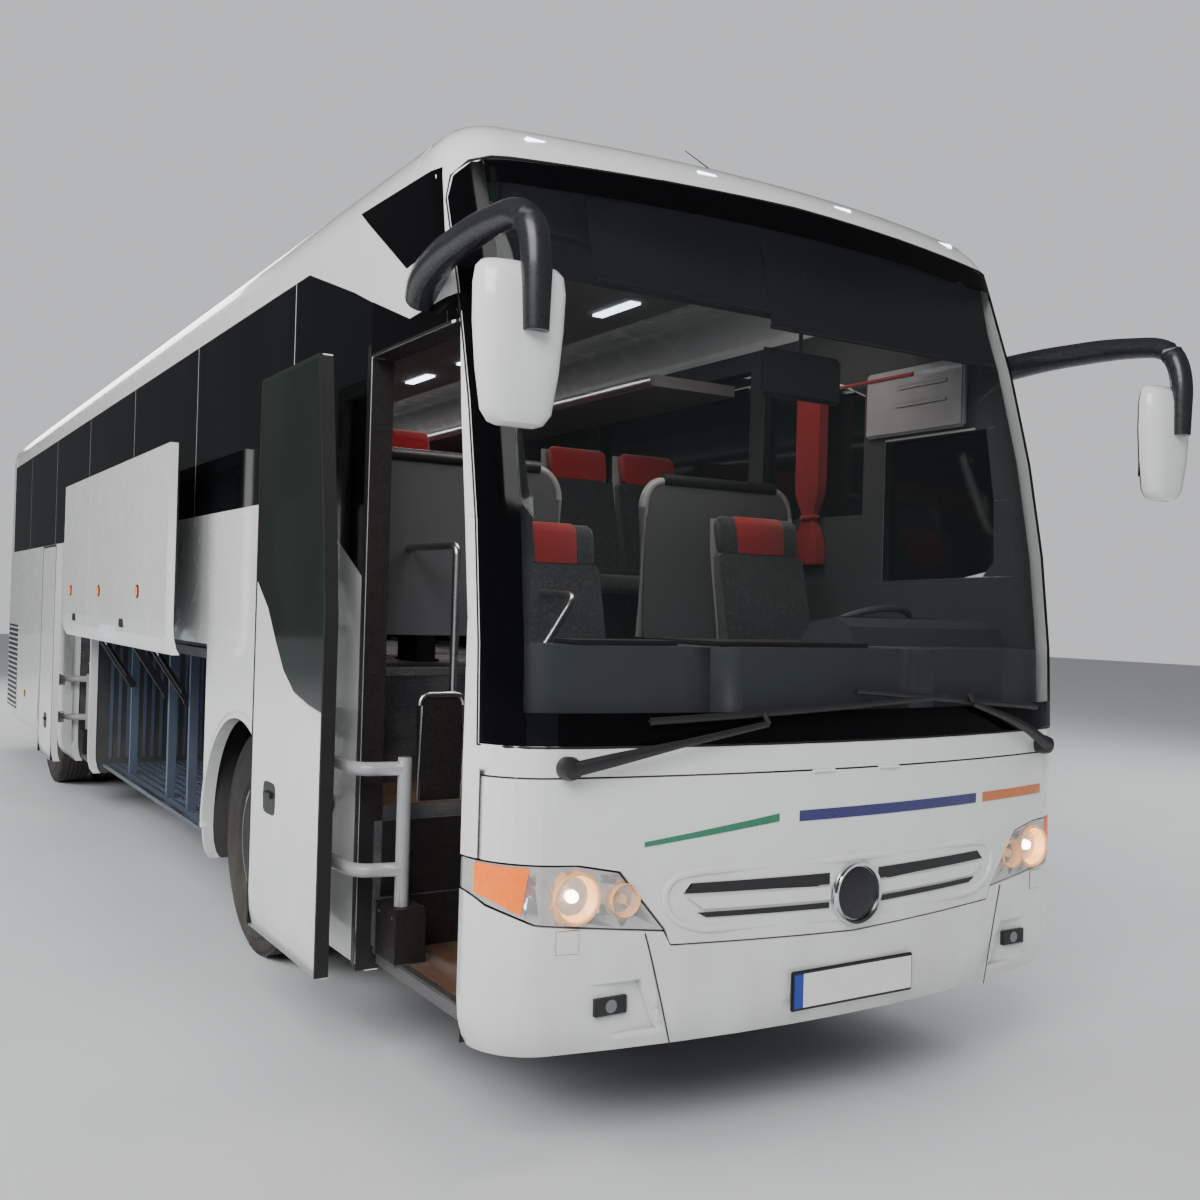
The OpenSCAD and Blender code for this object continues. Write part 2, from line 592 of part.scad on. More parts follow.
// Stair tread or side wall that keeps clear of the drawn-in skirt below
module foot_wall(x1, d0, d1, top) {
    plank([-1194, fy(d0), sill_z], [x1, fy(d1), skirt_z + 90]);
    plank([-1218, fy(d0), skirt_z + 90], [x1, fy(d1), top]);
}
module deck() {
    color("#4a4b4f") {
        // Passenger floor round the middle stair
        plank([-1224, fy(deck_d), deck_z - deck_t], [1224, fy(mid_d), deck_z]);
        plank([-stair_x + 140, fy(mid_d), deck_z - deck_t], [1224, fy(mid_d + mid_w + 20), deck_z]);
        plank([-1224, fy(mid_d + mid_w + 20), deck_z - deck_t], [1224, fy(deck_end), deck_z]);
        // Driver's floor and the riser up to the passenger floor
        plank([-stair_x + 240, fy(door_d + 8), cab_z - 50], [1224, fy(door_d + door_w + 10), cab_z]);
        plank([-1224, fy(door_d + door_w + 10), cab_z - 50], [1224, fy(deck_d + 34), cab_z]);
        plank([-1224, fy(deck_d), cab_z], [1224, fy(deck_d + 34), deck_z - deck_t]);
        // Steps of the front door, the wall behind them and the box of its drive
        plank([-1200, fy(door_d), sill_z], [-stair_x - 90, fy(door_d + door_w - 10), step_z]);
        for (k = [0, 1]) plank([-stair_x - 90 + 165 * k, fy(door_d + 8), sill_z],
            [-stair_x + 75 + 165 * k, fy(door_d + door_w - 10), 600 + 165 * k]);
        foot_wall(-stair_x + 240, door_d + door_w - 10, door_d + door_w + 10, cab_z - 50);
        plank([post_x - 44, fy(door_post_d - 60), step_z], [post_x + 70, fy(door_d + door_w - 10), drive_z]);
        // Steps of the middle door, the wall behind them and the box of its drive
        plank([-1200, fy(mid_d), sill_z], [-stair_x - 90, fy(mid_d + mid_w), step_z]);
        for (k = [0 : 2]) plank([-stair_x - 90 + 76 * k, fy(mid_d), step_z + 236 * k],
            [-stair_x + 140, fy(mid_d + mid_w), step_z + 236 * (k + 1)]);
        foot_wall(-stair_x + 140, mid_d + mid_w, mid_d + mid_w + 20, deck_z - deck_t);
        plank([post_x - 44, fy(mid_post_d - 60), step_z], [post_x + 70, fy(mid_d + mid_w), drive_z]);
    }
}
post_d = [bay_d + 1040, bay_d + 1570, bay_split + 440];
bay_post_x = half_w - 195;
module bay_lining() {
    color("#5c6a80") {
        plank([-1175, fy(bay_d - 5), bay_floor_z], [1175, fy(bay_end + 5), bay_floor_z + 20]);
        plank([-25, fy(bay_d - 5), bay_floor_z + 20], [25, fy(bay_end + 5), deck_z - deck_t]);
        for (s = [-1, 1], d = post_d)
            plank([s * bay_post_x - 25, fy(d) - 20, bay_floor_z + 20], [s * bay_post_x + 25, fy(d) + 20, deck_z - deck_t]);
    }
}
dash_top = 1560;
wheel_tilt = 28;
module dashboard() {
    color("#3b3e42") {
        intersection() {
            nose(wall + seat_gap);
            plank([-1224, fy(60), 1180], [-550, fy(door_d - 10), dash_top]);
        }
        intersection() {
            nose(wall + seat_gap);
            plank([-550, fy(60), 1180], [250, fy(560), dash_top]);
        }
        intersection() {
            nose(wall + seat_gap);
            plank([250, fy(60), 1180], [1224, fy(700), dash_top]);
        }
        // Hood over the instruments, and the steering wheel on its column
        side_zone([[380, dash_top + seat_gap], [400, 1630], [480, 1665], [620, 1645], [690, dash_top + seat_gap]], 330, 1150);
        translate([740, fy(800), 1600]) rotate([-wheel_tilt, 0, 0]) {
            rotate_extrude() translate([225, 0]) circle(14, $fn = 20);
            translate([-225, -20, -12]) cube([450, 40, 20]);
            translate([0, 0, -170]) cylinder(r = 40, h = 168);
        }
        block([690, fy(705), cab_z + seat_gap], [790, fy(785), 1480]);
    }
}
// Boards behind the driver and behind the entry, on two legs each
module partitions() {
    color("#77787c") for (x = [[-1120, -170], [300, 1170]]) {
        front_zone([[x[0], 1540], [x[1], 1540], [x[1], 2190], [x[1] - 25, 2245], [x[1] - 80, 2270], [x[0] + 80, 2270],
            [x[0] + 25, 2245], [x[0], 2190]], deck_d + 20, deck_d + 60);
        for (q = [x[0] + 120, x[1] - 120])
            translate([q, fy(deck_d + 40), deck_z + seat_gap]) cylinder(r = 17, h = 1540 - deck_z - 2 * seat_gap);
    }
}
// Side view of a seat: cushion, back and headrest, from the cushion's underside up
seat_line = [[-40, 20], [-25, 112], [355, 100], [392, 140], [500, 640], [522, 815], [590, 805], [580, 640],
    [470, 40], [430, 0], [-20, 0]];
module seat(x, d, z, w, leg) {
    translate([x - w / 2, fy(d), z]) rotate([90, 0, 90]) linear_extrude(w) polygon(seat_line);
    translate([x, fy(d), z]) block([-60, 60, -leg], [60, 320, 40]);
}
rows = floor((deck_end - row_d - 600) / row_pitch) + 1;
function over_stair(x, d) = x < 0 && d + 560 > mid_d && d - 60 < mid_d + mid_w + 20;
module seats() {
    color("#34363a") {
        for (k = [0 : rows - 1], x = [-990, -530, 530, 990]) {
            d = row_d + row_pitch * k;
            if (!over_stair(x, d)) seat(x, d, deck_z + 330, 430, 330);
        }
        seat(740, 940, 1300, 500, 1300 - cab_z);
        seat(-340, 960, 1215, 430, 1215 - cab_z);
    }
}
module racks() {
    color("#8a8c90") both() block([700, fy(deck_d + 570), 2840], [half_w - wall - seat_gap, fy(tail_d - 40), 2900]);
}
module handrails() {
    color(steel) tube([[-880, fy(1280), cab_z + seat_gap], [-880, fy(1280), 1900], [-880, fy(deck_d + 20 - seat_gap), 1900]],
        16, [1, 0, 0]);
}
// Rings of a mirror's head: height, half width, half depth
head_levels = [[2150, 66, 32], [2175, 104, 56], [2300, 126, 70], [2450, 139, 74], [2560, 137, 66], [2592, 108, 42]];
head_d = -80;
arm_r = 48;
arm_bend = 50;
arm_d = head_d - 77;
right_arm = [[-half_w - 53, fy(680), 2700], [-1348, fy(430), 2742], [-1362, fy(130), 2752], [-1362, fy(-105), 2738],
    [-1350, fy(arm_d), 2645], [-1346, fy(arm_d), 2400]];
left_arm = [[half_w + 53, fy(640), 2740], [1395, fy(390), 2768], [1455, fy(130), 2775], [1475, fy(-105), 2750],
    [1480, fy(arm_d), 2645], [1482, fy(arm_d), 2400]];
// Foot of a mirror's arm on the side wall; s is the side
module mirror_foot(s, d, z) {
    block([min(s * (half_w + seat_gap), s * (half_w + 60)), fy(d) - 120, z - 75],
        [max(s * (half_w + seat_gap), s * (half_w + 60)), fy(d) + 120, z + 75]);
}
module mirror_arms() {
    color(black) {
        mirror_foot(-1, 680, 2700);
        mirror_foot(1, 640, 2740);
        tube(right_arm, arm_r, [1, 0, 0], arm_bend);
        tube(left_arm, arm_r, [1, 0, 0], arm_bend);
    }
}
module mirror_head(x, path) {
    color(white) difference() {
        loft([for (w = head_levels) [for (j = [0 : 15]) let (a = 22.5 * j)
            [x + w[1] * sign(cos(a)) * pow(abs(cos(a)), 0.7), fy(head_d) + w[2] * sign(sin(a)) * pow(abs(sin(a)), 0.7), w[0]]]]);
        tube(path, arm_r + seat_gap, [1, 0, 0], arm_bend);
    }
}
module mirror_heads() {
    mirror_head(-1362, right_arm);
    mirror_head(1466, left_arm);
}
wiper_z = 1215;
// How far the wiper's foot stands off at its middle, where the front curves away to both sides
wiper_foot = 5.3;
module wiper(x, x2, z2) {
    translate([x, fy(nose_d(x, wiper_z)) - wiper_foot, wiper_z]) rotate([90, 0, 0]) cylinder(r = 22, h = 45);
    tube([[x, fy(nose_d(x, wiper_z) - 36), wiper_z], [x2, fy(nose_d(x2, z2) - 26), z2]], 12, [0, 1, 0]);
}
module wipers() {
    color(black) {
        wiper(-1055, -377, 1314);
        wiper(1040, 594, 1375);
    }
}

// Room between the knuckle's arms, below and above the axle
pin_down = 100;
pin_up = 95;
// Height of the air springs' seats
spring_z = axle_z + 100;
module front_axle() {
    color("#2c2d30") {
        translate([-kingpin_x + 70, front_axle_y, axle_z]) rotate([0, 90, 0])
            cylinder(r = 55, h = 2 * kingpin_x - 140);
        for (s = [-1, 1]) {
            translate([s * kingpin_x, front_axle_y, axle_z - pin_down + seat_gap])
                cylinder(r = 38, h = pin_down + pin_up - 2 * seat_gap);
            block([min(s * (kingpin_x - 90), s * (kingpin_x - 20)), front_axle_y - 35, axle_z - 60],
                [max(s * (kingpin_x - 90), s * (kingpin_x - 20)), front_axle_y + 35, axle_z + 60]);
            block([s * 430 - 75, front_axle_y - 75, axle_z], [s * 430 + 75, front_axle_y + 75, spring_z]);
            translate([s * 430, front_axle_y, spring_z]) cylinder(r = 110, h = rail_low - spring_z);
        }
    }
}
axle_end = rear_track - 350 - seat_gap;
module rear_axle() {
    color("#2c2d30") {
        translate([0, rear_axle_y, axle_z]) rotate([0, 90, 0]) rotate_extrude() polygon([[0, -axle_end],
            [85, -axle_end], [85, -260], [210, -100], [210, 100], [85, 260], [85, axle_end], [0, axle_end]]);
        for (s = [-1, 1]) {
            block([s * 430 - 75, rear_axle_y - 75, axle_z], [s * 430 + 75, rear_axle_y + 75, spring_z]);
            translate([s * 430, rear_axle_y, spring_z]) cylinder(r = 110, h = rail_low - spring_z);
        }
    }
}
module engine() { color("#4c4d50") block([-390 + seat_gap, fy(tail_d - 1270), 420], [390 - seat_gap, fy(tail_d + 80), 1250]); }
module knuckle() {
    color("#55565a") {
        for (z = [-pin_down - 50, pin_up]) translate([kingpin_x, front_axle_y, axle_z + z]) cylinder(r = 55, h = 50);
        translate([kingpin_x + 45, front_axle_y, axle_z - 150]) block([0, -60, 0], [35, 60, 295]);
        translate([kingpin_x + 60, front_axle_y, axle_z]) rotate([0, 90, 0]) cylinder(r = 60, h = 105 - seat_gap);
    }
}
// Tyre standing on its own axis along X, its middle at x
module tyre(x, y) {
    h = tyre_w / 2;
    translate([x, y, axle_z]) rotate([0, 90, 0]) rotate_extrude($fn = 72)
        polygon([[bead_r, -h + 30], [bead_r + 60, -h + 6], [400, -h], [tyre_r - 60, -h + 8], [tyre_r - 18, -h + 26],
            [tyre_r, -h + 60], [tyre_r, h - 60], [tyre_r - 18, h - 26], [tyre_r - 60, h - 8], [400, h],
            [bead_r + 60, h - 6], [bead_r, h - 30]]);
}
// Rims on their own axis, as one profile each (radius, place along the axis), with hand holes
module wheel_body(x, y, s, profile, hole_r, hole_d) {
    translate([x, y, axle_z]) rotate([0, 90 * s, 0]) difference() {
        rotate_extrude($fn = 72) polygon(profile);
        for (k = [0 : 9]) rotate([0, 0, 36 * k]) translate([hole_r, 0, -150]) cylinder(r = hole_d, h = 400);
    }
}
module front_rim(s) {
    h = tyre_w / 2 - 30;
    b = bead_r - 0.3;
    inner = kingpin_x + 165 - front_track;
    color(steel) wheel_body(s * front_track, front_axle_y, s, [[b, -h], [b, h], [b - 14, h], [b - 36, h - 40],
        [b - 52, 52], [150, 66], [108, 66], [104, 120], [60, 134], [0, 134], [0, inner], [70, inner], [70, 40],
        [150, 52], [b - 60, 36], [b - 50, -h + 40], [b - 14, -h]], 190, 24);
}
module rear_rim(s) {
    h = tyre_w / 2 - 30;
    b = bead_r - 0.3;
    c = twin_pitch / 2;
    color(steel) wheel_body(s * rear_track, rear_axle_y, s, [[0, -350], [110, -350], [110, -14], [200, -14],
        [b - 50, -60], [b - 24, -c - h], [b, -c - h], [b, h - c], [b - 14, h - c], [b - 30, h - c - 4], [210, -1],
        [210, 1], [b - 30, c - h + 4], [b - 14, c - h], [b, c - h], [b, c + h], [b - 24, c + h], [b - 50, 60],
        [200, 14], [150, 14], [130, 14], [122, 190], [70, 200], [0, 200]], 172, 20);
}
module front_tyre(s) { color(black) tyre(s * front_track, front_axle_y); }
module rear_tyres(s) {
    color(black) for (e = [-1, 1]) tyre(s * (rear_track + e * twin_pitch / 2), rear_axle_y);
}

// Post and arms of a swinging door, in the open position; bend is where the arm clears the wall
door_arm_r = 25;
module door_arms(post_d, out, back, heights) {
    tip = [post_x - out, fy(post_d + door_tip(out, back))];
    for (z = heights) {
        tube([[post_x, fy(post_d), z], [post_x - out + 30, fy(post_d + 30), z], [tip[0], tip[1], z]],
            door_arm_r, [0, 0, 1], 50);
        translate([tip[0], tip[1], z - door_arm_r]) cylinder(r = 30, h = 2 * door_arm_r);
    }
    translate([post_x, fy(post_d), drive_z + seat_gap]) cylinder(r = door_arm_r, h = heights[1] + 40 - drive_z);
}
// How far the open arm's tip lies behind the post, from the shifts of the leaf
function door_tip(out, back) = (back * back - out * out) / (2 * back);
front_tip = door_tip(door_out, door_back);
mid_tip = door_tip(mid_out, mid_back);
module front_door_arms() {
    color(steel) {
        door_arms(door_post_d, door_out, door_back, door_pins);
    }
}
module mid_door_arm() {
    color(steel) {
        door_arms(mid_post_d, mid_out, mid_back, mid_pins);
    }
}
leaf_end = door_d + door_w - 12;
leaf_glass_line = [[door_d + 12, 1278], [door_d + 153, 1294], [door_d + 329, 1330], [door_d + 458, 1403],
    [door_d + 564, 1509], [door_d + 674, 1634], [door_d + 805, 1726], [leaf_end, 1745], [leaf_end, door_top - 14],
    [door_d + 146, door_top - 14], [door_d + 52, 1940], [door_d + 12, 1630]];
module front_door() {
    color(white) translate([-door_out, door_back, 0]) {
        difference() {
            union() {
                mirror([1, 0, 0]) intersection() {
                    side_strip(0, leaf_t, nose_len - 1, door_d + door_w);
                    side_zone(door_line(gap), 1000, 2000);
                }
                mirror([1, 0, 0]) intersection() {
                    nose_skin(0, leaf_t, roof_z, true);
                    side_zone(door_line(gap), 1000, 2000);
                }
            }
            side_zone(leaf_glass_line, -2000, -half_w + glass_t + 0.3);
            side_zone([for (p = leaf_glass_line) [(p[0] - door_d - 420) * 0.88 + door_d + 420, (p[1] - 1950) * 0.93 + 1950]],
                -2000, -1000);
            block([-2000, front_y, 0], [0, fy(2000), sill_z]);
            block([-half_w + leaf_t, front_y, 0], [0, fy(2000), roof_z]);
        }
        // Brackets that the arms turn in
        for (z = door_pins)
            block([-half_w + leaf_t + seat_gap, fy(door_post_d + front_tip - door_back) - 20, z - 60],
                [post_x + 26, fy(door_post_d + front_tip - door_back) + 20, z - door_arm_r - seat_gap]);
    }
}
module front_door_glass() {
    color([0.15, 0.16, 0.18, 0.6]) translate([-door_out, door_back, 0]) intersection() {
        side_zone(leaf_glass_line, -half_w, -half_w + glass_t);
        side_zone([for (p = leaf_glass_line) [(p[0] - door_d - 420) * 0.99 + door_d + 420, (p[1] - 1950) * 0.99 + 1950]],
            -2000, -1000);
    }
}
module mid_door() {
    color(white) translate([-mid_out, mid_back, 0]) {
        mirror([1, 0, 0]) intersection() {
            side_strip(0, leaf_t, mid_d + gap, mid_d + mid_w - gap);
            block([1000, front_y, sill_z], [2000, rear_y, mid_top - gap]);
        }
        for (z = mid_pins)
            block([-half_w + leaf_t, fy(mid_post_d + mid_tip - mid_back) - 20, z - 60],
                [post_x + 26, fy(mid_post_d + mid_tip - mid_back) + 20, z - door_arm_r - seat_gap]);
    }
}

// Luggage flaps and their levers, drawn for the +X side; a is the levers' angle above the horizontal
lever_x = half_w - 168;
flap_out = lever * (cos(lever_open) - cos(lever_shut));
flap_up = lever * (sin(lever_open) + sin(lever_shut));
module levers(ds, a) {
    color(black) for (d = ds) translate([lever_x, fy(d), lever_z]) rotate([0, -a, 0]) {
        block([0, -9, -20], [lever, 9, 20]);
        for (x = [0, lever]) translate([x, 9, 0]) rotate([90, 0, 0]) cylinder(r = 26, h = 18);
    }
}
flap_lean = 8;
module flap(d0, d1, ds) {
    color(white) {
        intersection() {
            side_strip(0, flap_t, d0 + gap, d1 - gap);
            block([0, front_y, skirt_z + 5], [2000, rear_y, seam_z - flap_gap]);
        }
        for (d = ds) block([lever_x + lever * cos(lever_shut) - 20, fy(d) + 9 + seat_gap, lever_z - lever * sin(lever_shut) - 20],
            [half_w - flap_t - flap_lean, fy(d) + 20, lever_z - lever * sin(lever_shut) + 20]);
    }
}
lever_side = 20 + 9 + seat_gap;
front_levers = [post_d[0] + lever_side, post_d[1] + lever_side];
rear_levers = [post_d[2] - lever_side, post_d[2] + lever_side];
module raised() { mirror([1, 0, 0]) translate([flap_out, 0, flap_up]) children(); }

underframe();
front_mask();
front_bumper();
headlamps();
headlamp_covers();
windscreen();
side_right();
side_left();
side_glass();
roof();
roof_unit();
rear_wall();
rear_glass();
rear_lamps();
deck();
bay_lining();
dashboard();
partitions();
seats();
racks();
handrails();
mirror_arms();
mirror_heads();
wipers();
front_axle();
rear_axle();
engine();
knuckle();  // knuckle_left
mirror([1, 0, 0]) knuckle();  // knuckle_right
front_tyre(1);  // tyre_front_left
front_rim(1);  // rim_front_left
front_tyre(-1);  // tyre_front_right
front_rim(-1);  // rim_front_right
rear_tyres(1);  // tyre_rear_left
rear_rim(1);  // rim_rear_left
rear_tyres(-1);  // tyre_rear_right
rear_rim(-1);  // rim_rear_right
nose_lid();
engine_lid();
front_door_arms();
front_door();
front_door_glass();
mid_door_arm();
mid_door();
mirror([1, 0, 0]) levers(front_levers, lever_open);  // levers_right_front
raised() flap(bay_d, bay_split, front_levers);  // flap_right_front
mirror([1, 0, 0]) levers(rear_levers, lever_open);  // levers_right_rear
raised() flap(bay_split, bay_end, rear_levers);  // flap_right_rear
levers(front_levers, -lever_shut);  // levers_left_front
flap(bay_d, bay_split, front_levers);  // flap_left_front
levers(rear_levers, -lever_shut);  // levers_left_rear
flap(bay_split, bay_end, rear_levers);  // flap_left_rear
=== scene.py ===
"""Looks of the airport passenger bus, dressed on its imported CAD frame. All lengths are in metres."""
import json
import math

import bmesh
import bpy
from mathutils import Matrix, Vector

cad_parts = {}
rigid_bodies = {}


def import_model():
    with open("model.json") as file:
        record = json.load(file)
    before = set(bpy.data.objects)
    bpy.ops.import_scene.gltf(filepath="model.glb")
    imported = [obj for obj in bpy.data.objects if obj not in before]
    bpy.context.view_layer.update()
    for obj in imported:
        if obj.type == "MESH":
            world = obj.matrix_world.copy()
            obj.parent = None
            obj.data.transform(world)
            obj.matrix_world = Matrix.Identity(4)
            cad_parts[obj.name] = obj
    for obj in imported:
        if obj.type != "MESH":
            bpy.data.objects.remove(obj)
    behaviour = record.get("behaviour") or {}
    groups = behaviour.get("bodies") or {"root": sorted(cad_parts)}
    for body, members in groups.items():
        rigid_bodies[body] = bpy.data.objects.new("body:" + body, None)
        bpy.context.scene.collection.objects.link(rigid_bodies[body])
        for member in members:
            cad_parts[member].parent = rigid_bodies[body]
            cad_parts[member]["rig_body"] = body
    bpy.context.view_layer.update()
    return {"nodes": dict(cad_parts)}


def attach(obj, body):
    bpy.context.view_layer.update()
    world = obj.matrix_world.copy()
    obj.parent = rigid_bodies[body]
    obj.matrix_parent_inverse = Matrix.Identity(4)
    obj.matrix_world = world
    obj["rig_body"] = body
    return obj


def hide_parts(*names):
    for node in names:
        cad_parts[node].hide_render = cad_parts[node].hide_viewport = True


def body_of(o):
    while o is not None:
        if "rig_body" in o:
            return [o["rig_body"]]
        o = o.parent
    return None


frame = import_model()

# Body: a distance d is counted from its front towards the rear
FRONT = -5.9675
LENGTH = 12.14
HALF_W = 1.275
BOW = 5.08
BOW_END = 1.078
BACK_BOW = 12.0
CORNER = 0.25
EAVES = 3.07
EAVES_R = 0.24
REAR_BEND = 1.5
REAR_SLOPE = 0.05
SCREEN_R = 4.7
LEVELS = (1.2, 1.56, 1.93, 2.3, 2.68, 3.07)

# Wheels, floors, doors, flaps and panes
FRONT_AXLE = 2.77
REAR_AXLE = 8.85
AXLE_Z = 0.522
DECK = 1.4
CAB = 0.93
CAB_REAR = 1.73
STAIRS = ((0.362, 1.184), (6.797, 7.523))
STAIR_WELL = (6.794, 7.546)
OPEN_LEAF = (-0.185, 0.73)
OPEN_MID = (-0.175, 0.545)
LEVER = 0.565
RAISED = math.radians(57)
FOLDED = math.radians(80)
PANE_SEAMS = (2.1, 3.75, 5.4, 7.05, 8.7, 10.35)
PANE_SILL = 2.15
PANE_TOP = 2.96

SIDES = (-1, 1)
ALONG = (0, 1, 0)
UPWARD = (0, 0, 1)
QUARTER = math.radians(90)
ONE_WAVE = 6.28

# Range that holds most of a noise's values
CLOUDY = (0.3, 0.7)

# Angles in degrees over which an edge is sharp, and lengths that count as none
SHARP = 38
CAD_SHARP = 33
WELD = 2e-5
NO_EDGE = 1e-6
NO_RADIUS = 1e-4


# Places
def at(d):
    """Place along Y of a distance behind the front of the body"""
    return FRONT + d


def spot(x, d, z):
    return Vector((x, at(d), z))


def corner_middle(radius):
    """Distance from a bowed end to the middle of its corners' rounding"""
    return radius - math.sqrt((radius - CORNER) ** 2 - (HALF_W - CORNER) ** 2)


def lean(z):
    """How far the front leans back at height z, straight between the levels of its CAD surface"""
    if z <= LEVELS[0]:
        return 0.0
    for low, high in zip(LEVELS, LEVELS[1:]):
        if z <= high or high == LEVELS[-1]:
            near, far = ((v - LEVELS[0]) ** 2 / (2 * SCREEN_R) for v in (low, high))
            return near + (far - near) * (z - low) / (high - low)


def nose(x, z, inset=0.0):
    """Place along Y of the front's surface at x, z"""
    x = abs(x)
    if x < BOW_END:
        d = BOW - math.sqrt((BOW - inset) ** 2 - x * x)
    else:
        d = corner_middle(BOW) - math.sqrt(max((CORNER - inset) ** 2 - (x - HALF_W + CORNER) ** 2, 0.0))
    return at(d + lean(z))


def on_nose(x, z, inset=0.0):
    return Vector((x, nose(x, z, inset), z))


def flank(d, z, s, inset):
    """Point of the side's surface at distance d and height z; s is the side"""
    centre = corner_middle(BOW) + lean(z)
    x = HALF_W - inset
    if d < centre:
        x = HALF_W - CORNER + math.sqrt(max((CORNER - inset) ** 2 - (centre - d) ** 2, 0.0))
    if z > EAVES:
        x -= EAVES_R - math.sqrt(max(EAVES_R ** 2 - (z - EAVES) ** 2, 0.0))
    return spot(s * x, d, z)


def tail(x, z):
    """Place along Y of the rear's surface at x, z"""
    slope = max(z - REAR_BEND, 0.0) * REAR_SLOPE
    edge = BACK_BOW * math.sin(math.asin((HALF_W - CORNER) / (BACK_BOW - CORNER)))
    if x < edge:
        d = BACK_BOW - math.sqrt(BACK_BOW ** 2 - x * x)
    else:
        d = corner_middle(BACK_BOW) - math.sqrt(max(CORNER ** 2 - (x - HALF_W + CORNER) ** 2, 0))
    return at(LENGTH - d - slope)


def angles(count, first=0.0):
    """Angles that part a full turn evenly"""
    return [2 * math.pi * (k + first) / count for k in range(count)]


def sided(s, corners):
    """Corners (x, z) of the left side, mirrored for s = -1"""
    return [(s * x, z) for x, z in corners]


def oblong(u0, u1, v0, v1):
    return [(u0, v0), (u1, v0), (u1, v1), (u0, v1)]


# Nodes
def fill(tree, made, inputs):
    """Node with its inputs set to values or linked to sockets"""
    for key, value in inputs.items():
        socket = made.inputs[key]
        if hasattr(value, "is_output"):
            tree.links.new(value, socket)
        elif socket.type == "RGBA" and len(value) == 3:
            socket.default_value = (*value, 1.0)
        else:
            socket.default_value = value
    return made


def node(tree, kind, inputs=None, **settings):
    """New node with its inputs filled and its settings made"""
    made = tree.nodes.new(kind)
    for key, value in settings.items():
        setattr(made, key, value)
    return fill(tree, made, inputs or {})


def mix(tree, factor, a, b, blend="MIX"):
    """Colour mix of two colours or sockets"""
    inputs = {0: factor, 6: a, 7: b}
    return node(tree, "ShaderNodeMix", inputs, data_type="RGBA", blend_type=blend).outputs[2]


def remap(tree, value, low, high, to_low, to_high):
    """Range of a value turned into another range"""
    inputs = {"Value": value, "From Min": low, "From Max": high, "To Min": to_low, "To Max": to_high}
    return node(tree, "ShaderNodeMapRange", inputs).outputs["Result"]


def maths(tree, operation, a, b=0.0):
    return node(tree, "ShaderNodeMath", {0: a, 1: b}, operation=operation).outputs[0]


def object_place(tree):
    return node(tree, "ShaderNodeTexCoord").outputs["Object"]


def noise(tree, place, scale, detail=4.0, stretch=None):
    """Noise of a number of waves per metre, stretched along the axes if wanted"""
    if stretch:
        place = node(tree, "ShaderNodeMapping", {"Scale": stretch, "Vector": place}).outputs["Vector"]
    inputs = {"Scale": scale, "Detail": detail, "Vector": place}
    return node(tree, "ShaderNodeTexNoise", inputs).outputs["Fac"]


def bump(tree, shader, height, strength, distance=0.001):
    inputs = {"Strength": strength, "Distance": distance, "Height": height}
    fill(tree, shader, {"Normal": node(tree, "ShaderNodeBump", inputs).outputs["Normal"]})


# Materials
def blank(name, **sockets):
    """New material, its shader's sockets set by name"""
    material = bpy.data.materials.new(name)
    material.use_nodes = True
    tree = material.node_tree
    shader = tree.nodes["Principled BSDF"]
    fill(tree, shader, {key.replace("_", " "): value for key, value in sockets.items()})
    return material, tree, shader, object_place(tree)


def finish(name, colour, rough, drift, cloud, grain=0.0, grain_size=250.0, soil=0.0, soil_top=1.2,
           **sockets):
    """Finish with a cloudy drift of colour and gloss, a fine grain, and road dirt low down if wanted"""
    material, tree, shader, place = blank(name, **sockets)
    shade = remap(tree, noise(tree, place, cloud, 5.0), *CLOUDY, 1 - drift, 1 + drift * 0.3)
    paint = mix(tree, 1.0, colour, shade, "MULTIPLY")
    wear = remap(tree, noise(tree, place, cloud * 9, 6.0), *CLOUDY, rough * 0.8, min(rough * 1.25, 1.0))
    if soil:
        height = node(tree, "ShaderNodeSeparateXYZ", {0: place}).outputs[2]
        low = remap(tree, height, 0.3, soil_top, soil, 0.0)
        patches = remap(tree, noise(tree, place, 6.0, 6.0, (1, 1, 0.4)), 0.35, 0.75, 0.3, 1.0)
        dirt = maths(tree, "MULTIPLY", low, patches)
        paint = mix(tree, dirt, paint, (0.16, 0.14, 0.115))
        wear = maths(tree, "MAXIMUM", wear, remap(tree, dirt, 0.0, 0.5, rough, 0.75))
    fill(tree, shader, {"Base Color": paint, "Roughness": wear})
    if grain:
        bump(tree, shader, noise(tree, place, grain_size, 3.0), grain, 0.0006)
    return material


def tinted(name, colour, alpha, rough, dust, coat, gloss):
    """Glass seen through: its own tint, a faint film of dust and a hard gloss"""
    material, tree, shader, place = blank(name, IOR=1.5, Coat_Weight=coat, Coat_Roughness=0.02,
                                          Specular_IOR_Level=gloss)
    film = noise(tree, place, 1.8, 6.0, (1, 1, 0.35))
    fill(tree, shader, {
        "Base Color": mix(tree, remap(tree, film, 0.45, 0.8, 0.0, dust), colour, (0.3, 0.3, 0.29)),
        "Roughness": remap(tree, film, 0.3, 0.75, rough, rough + 0.05),
        "Alpha": remap(tree, film, 0.4, 0.8, alpha, min(alpha + 0.05, 1.0))})
    return material


def glowing(name, colour, strength):
    """Lit lamp part, or a painted glow on a part that is no lamp, with a faint cloudiness"""
    material, tree, shader, place = blank(name, Emission_Strength=strength, Roughness=0.2)
    hot = mix(tree, 1.0, colour, remap(tree, noise(tree, place, 60.0), *CLOUDY, 0.75, 1.0), "MULTIPLY")
    fill(tree, shader, {"Emission Color": hot, "Base Color": hot})
    return material


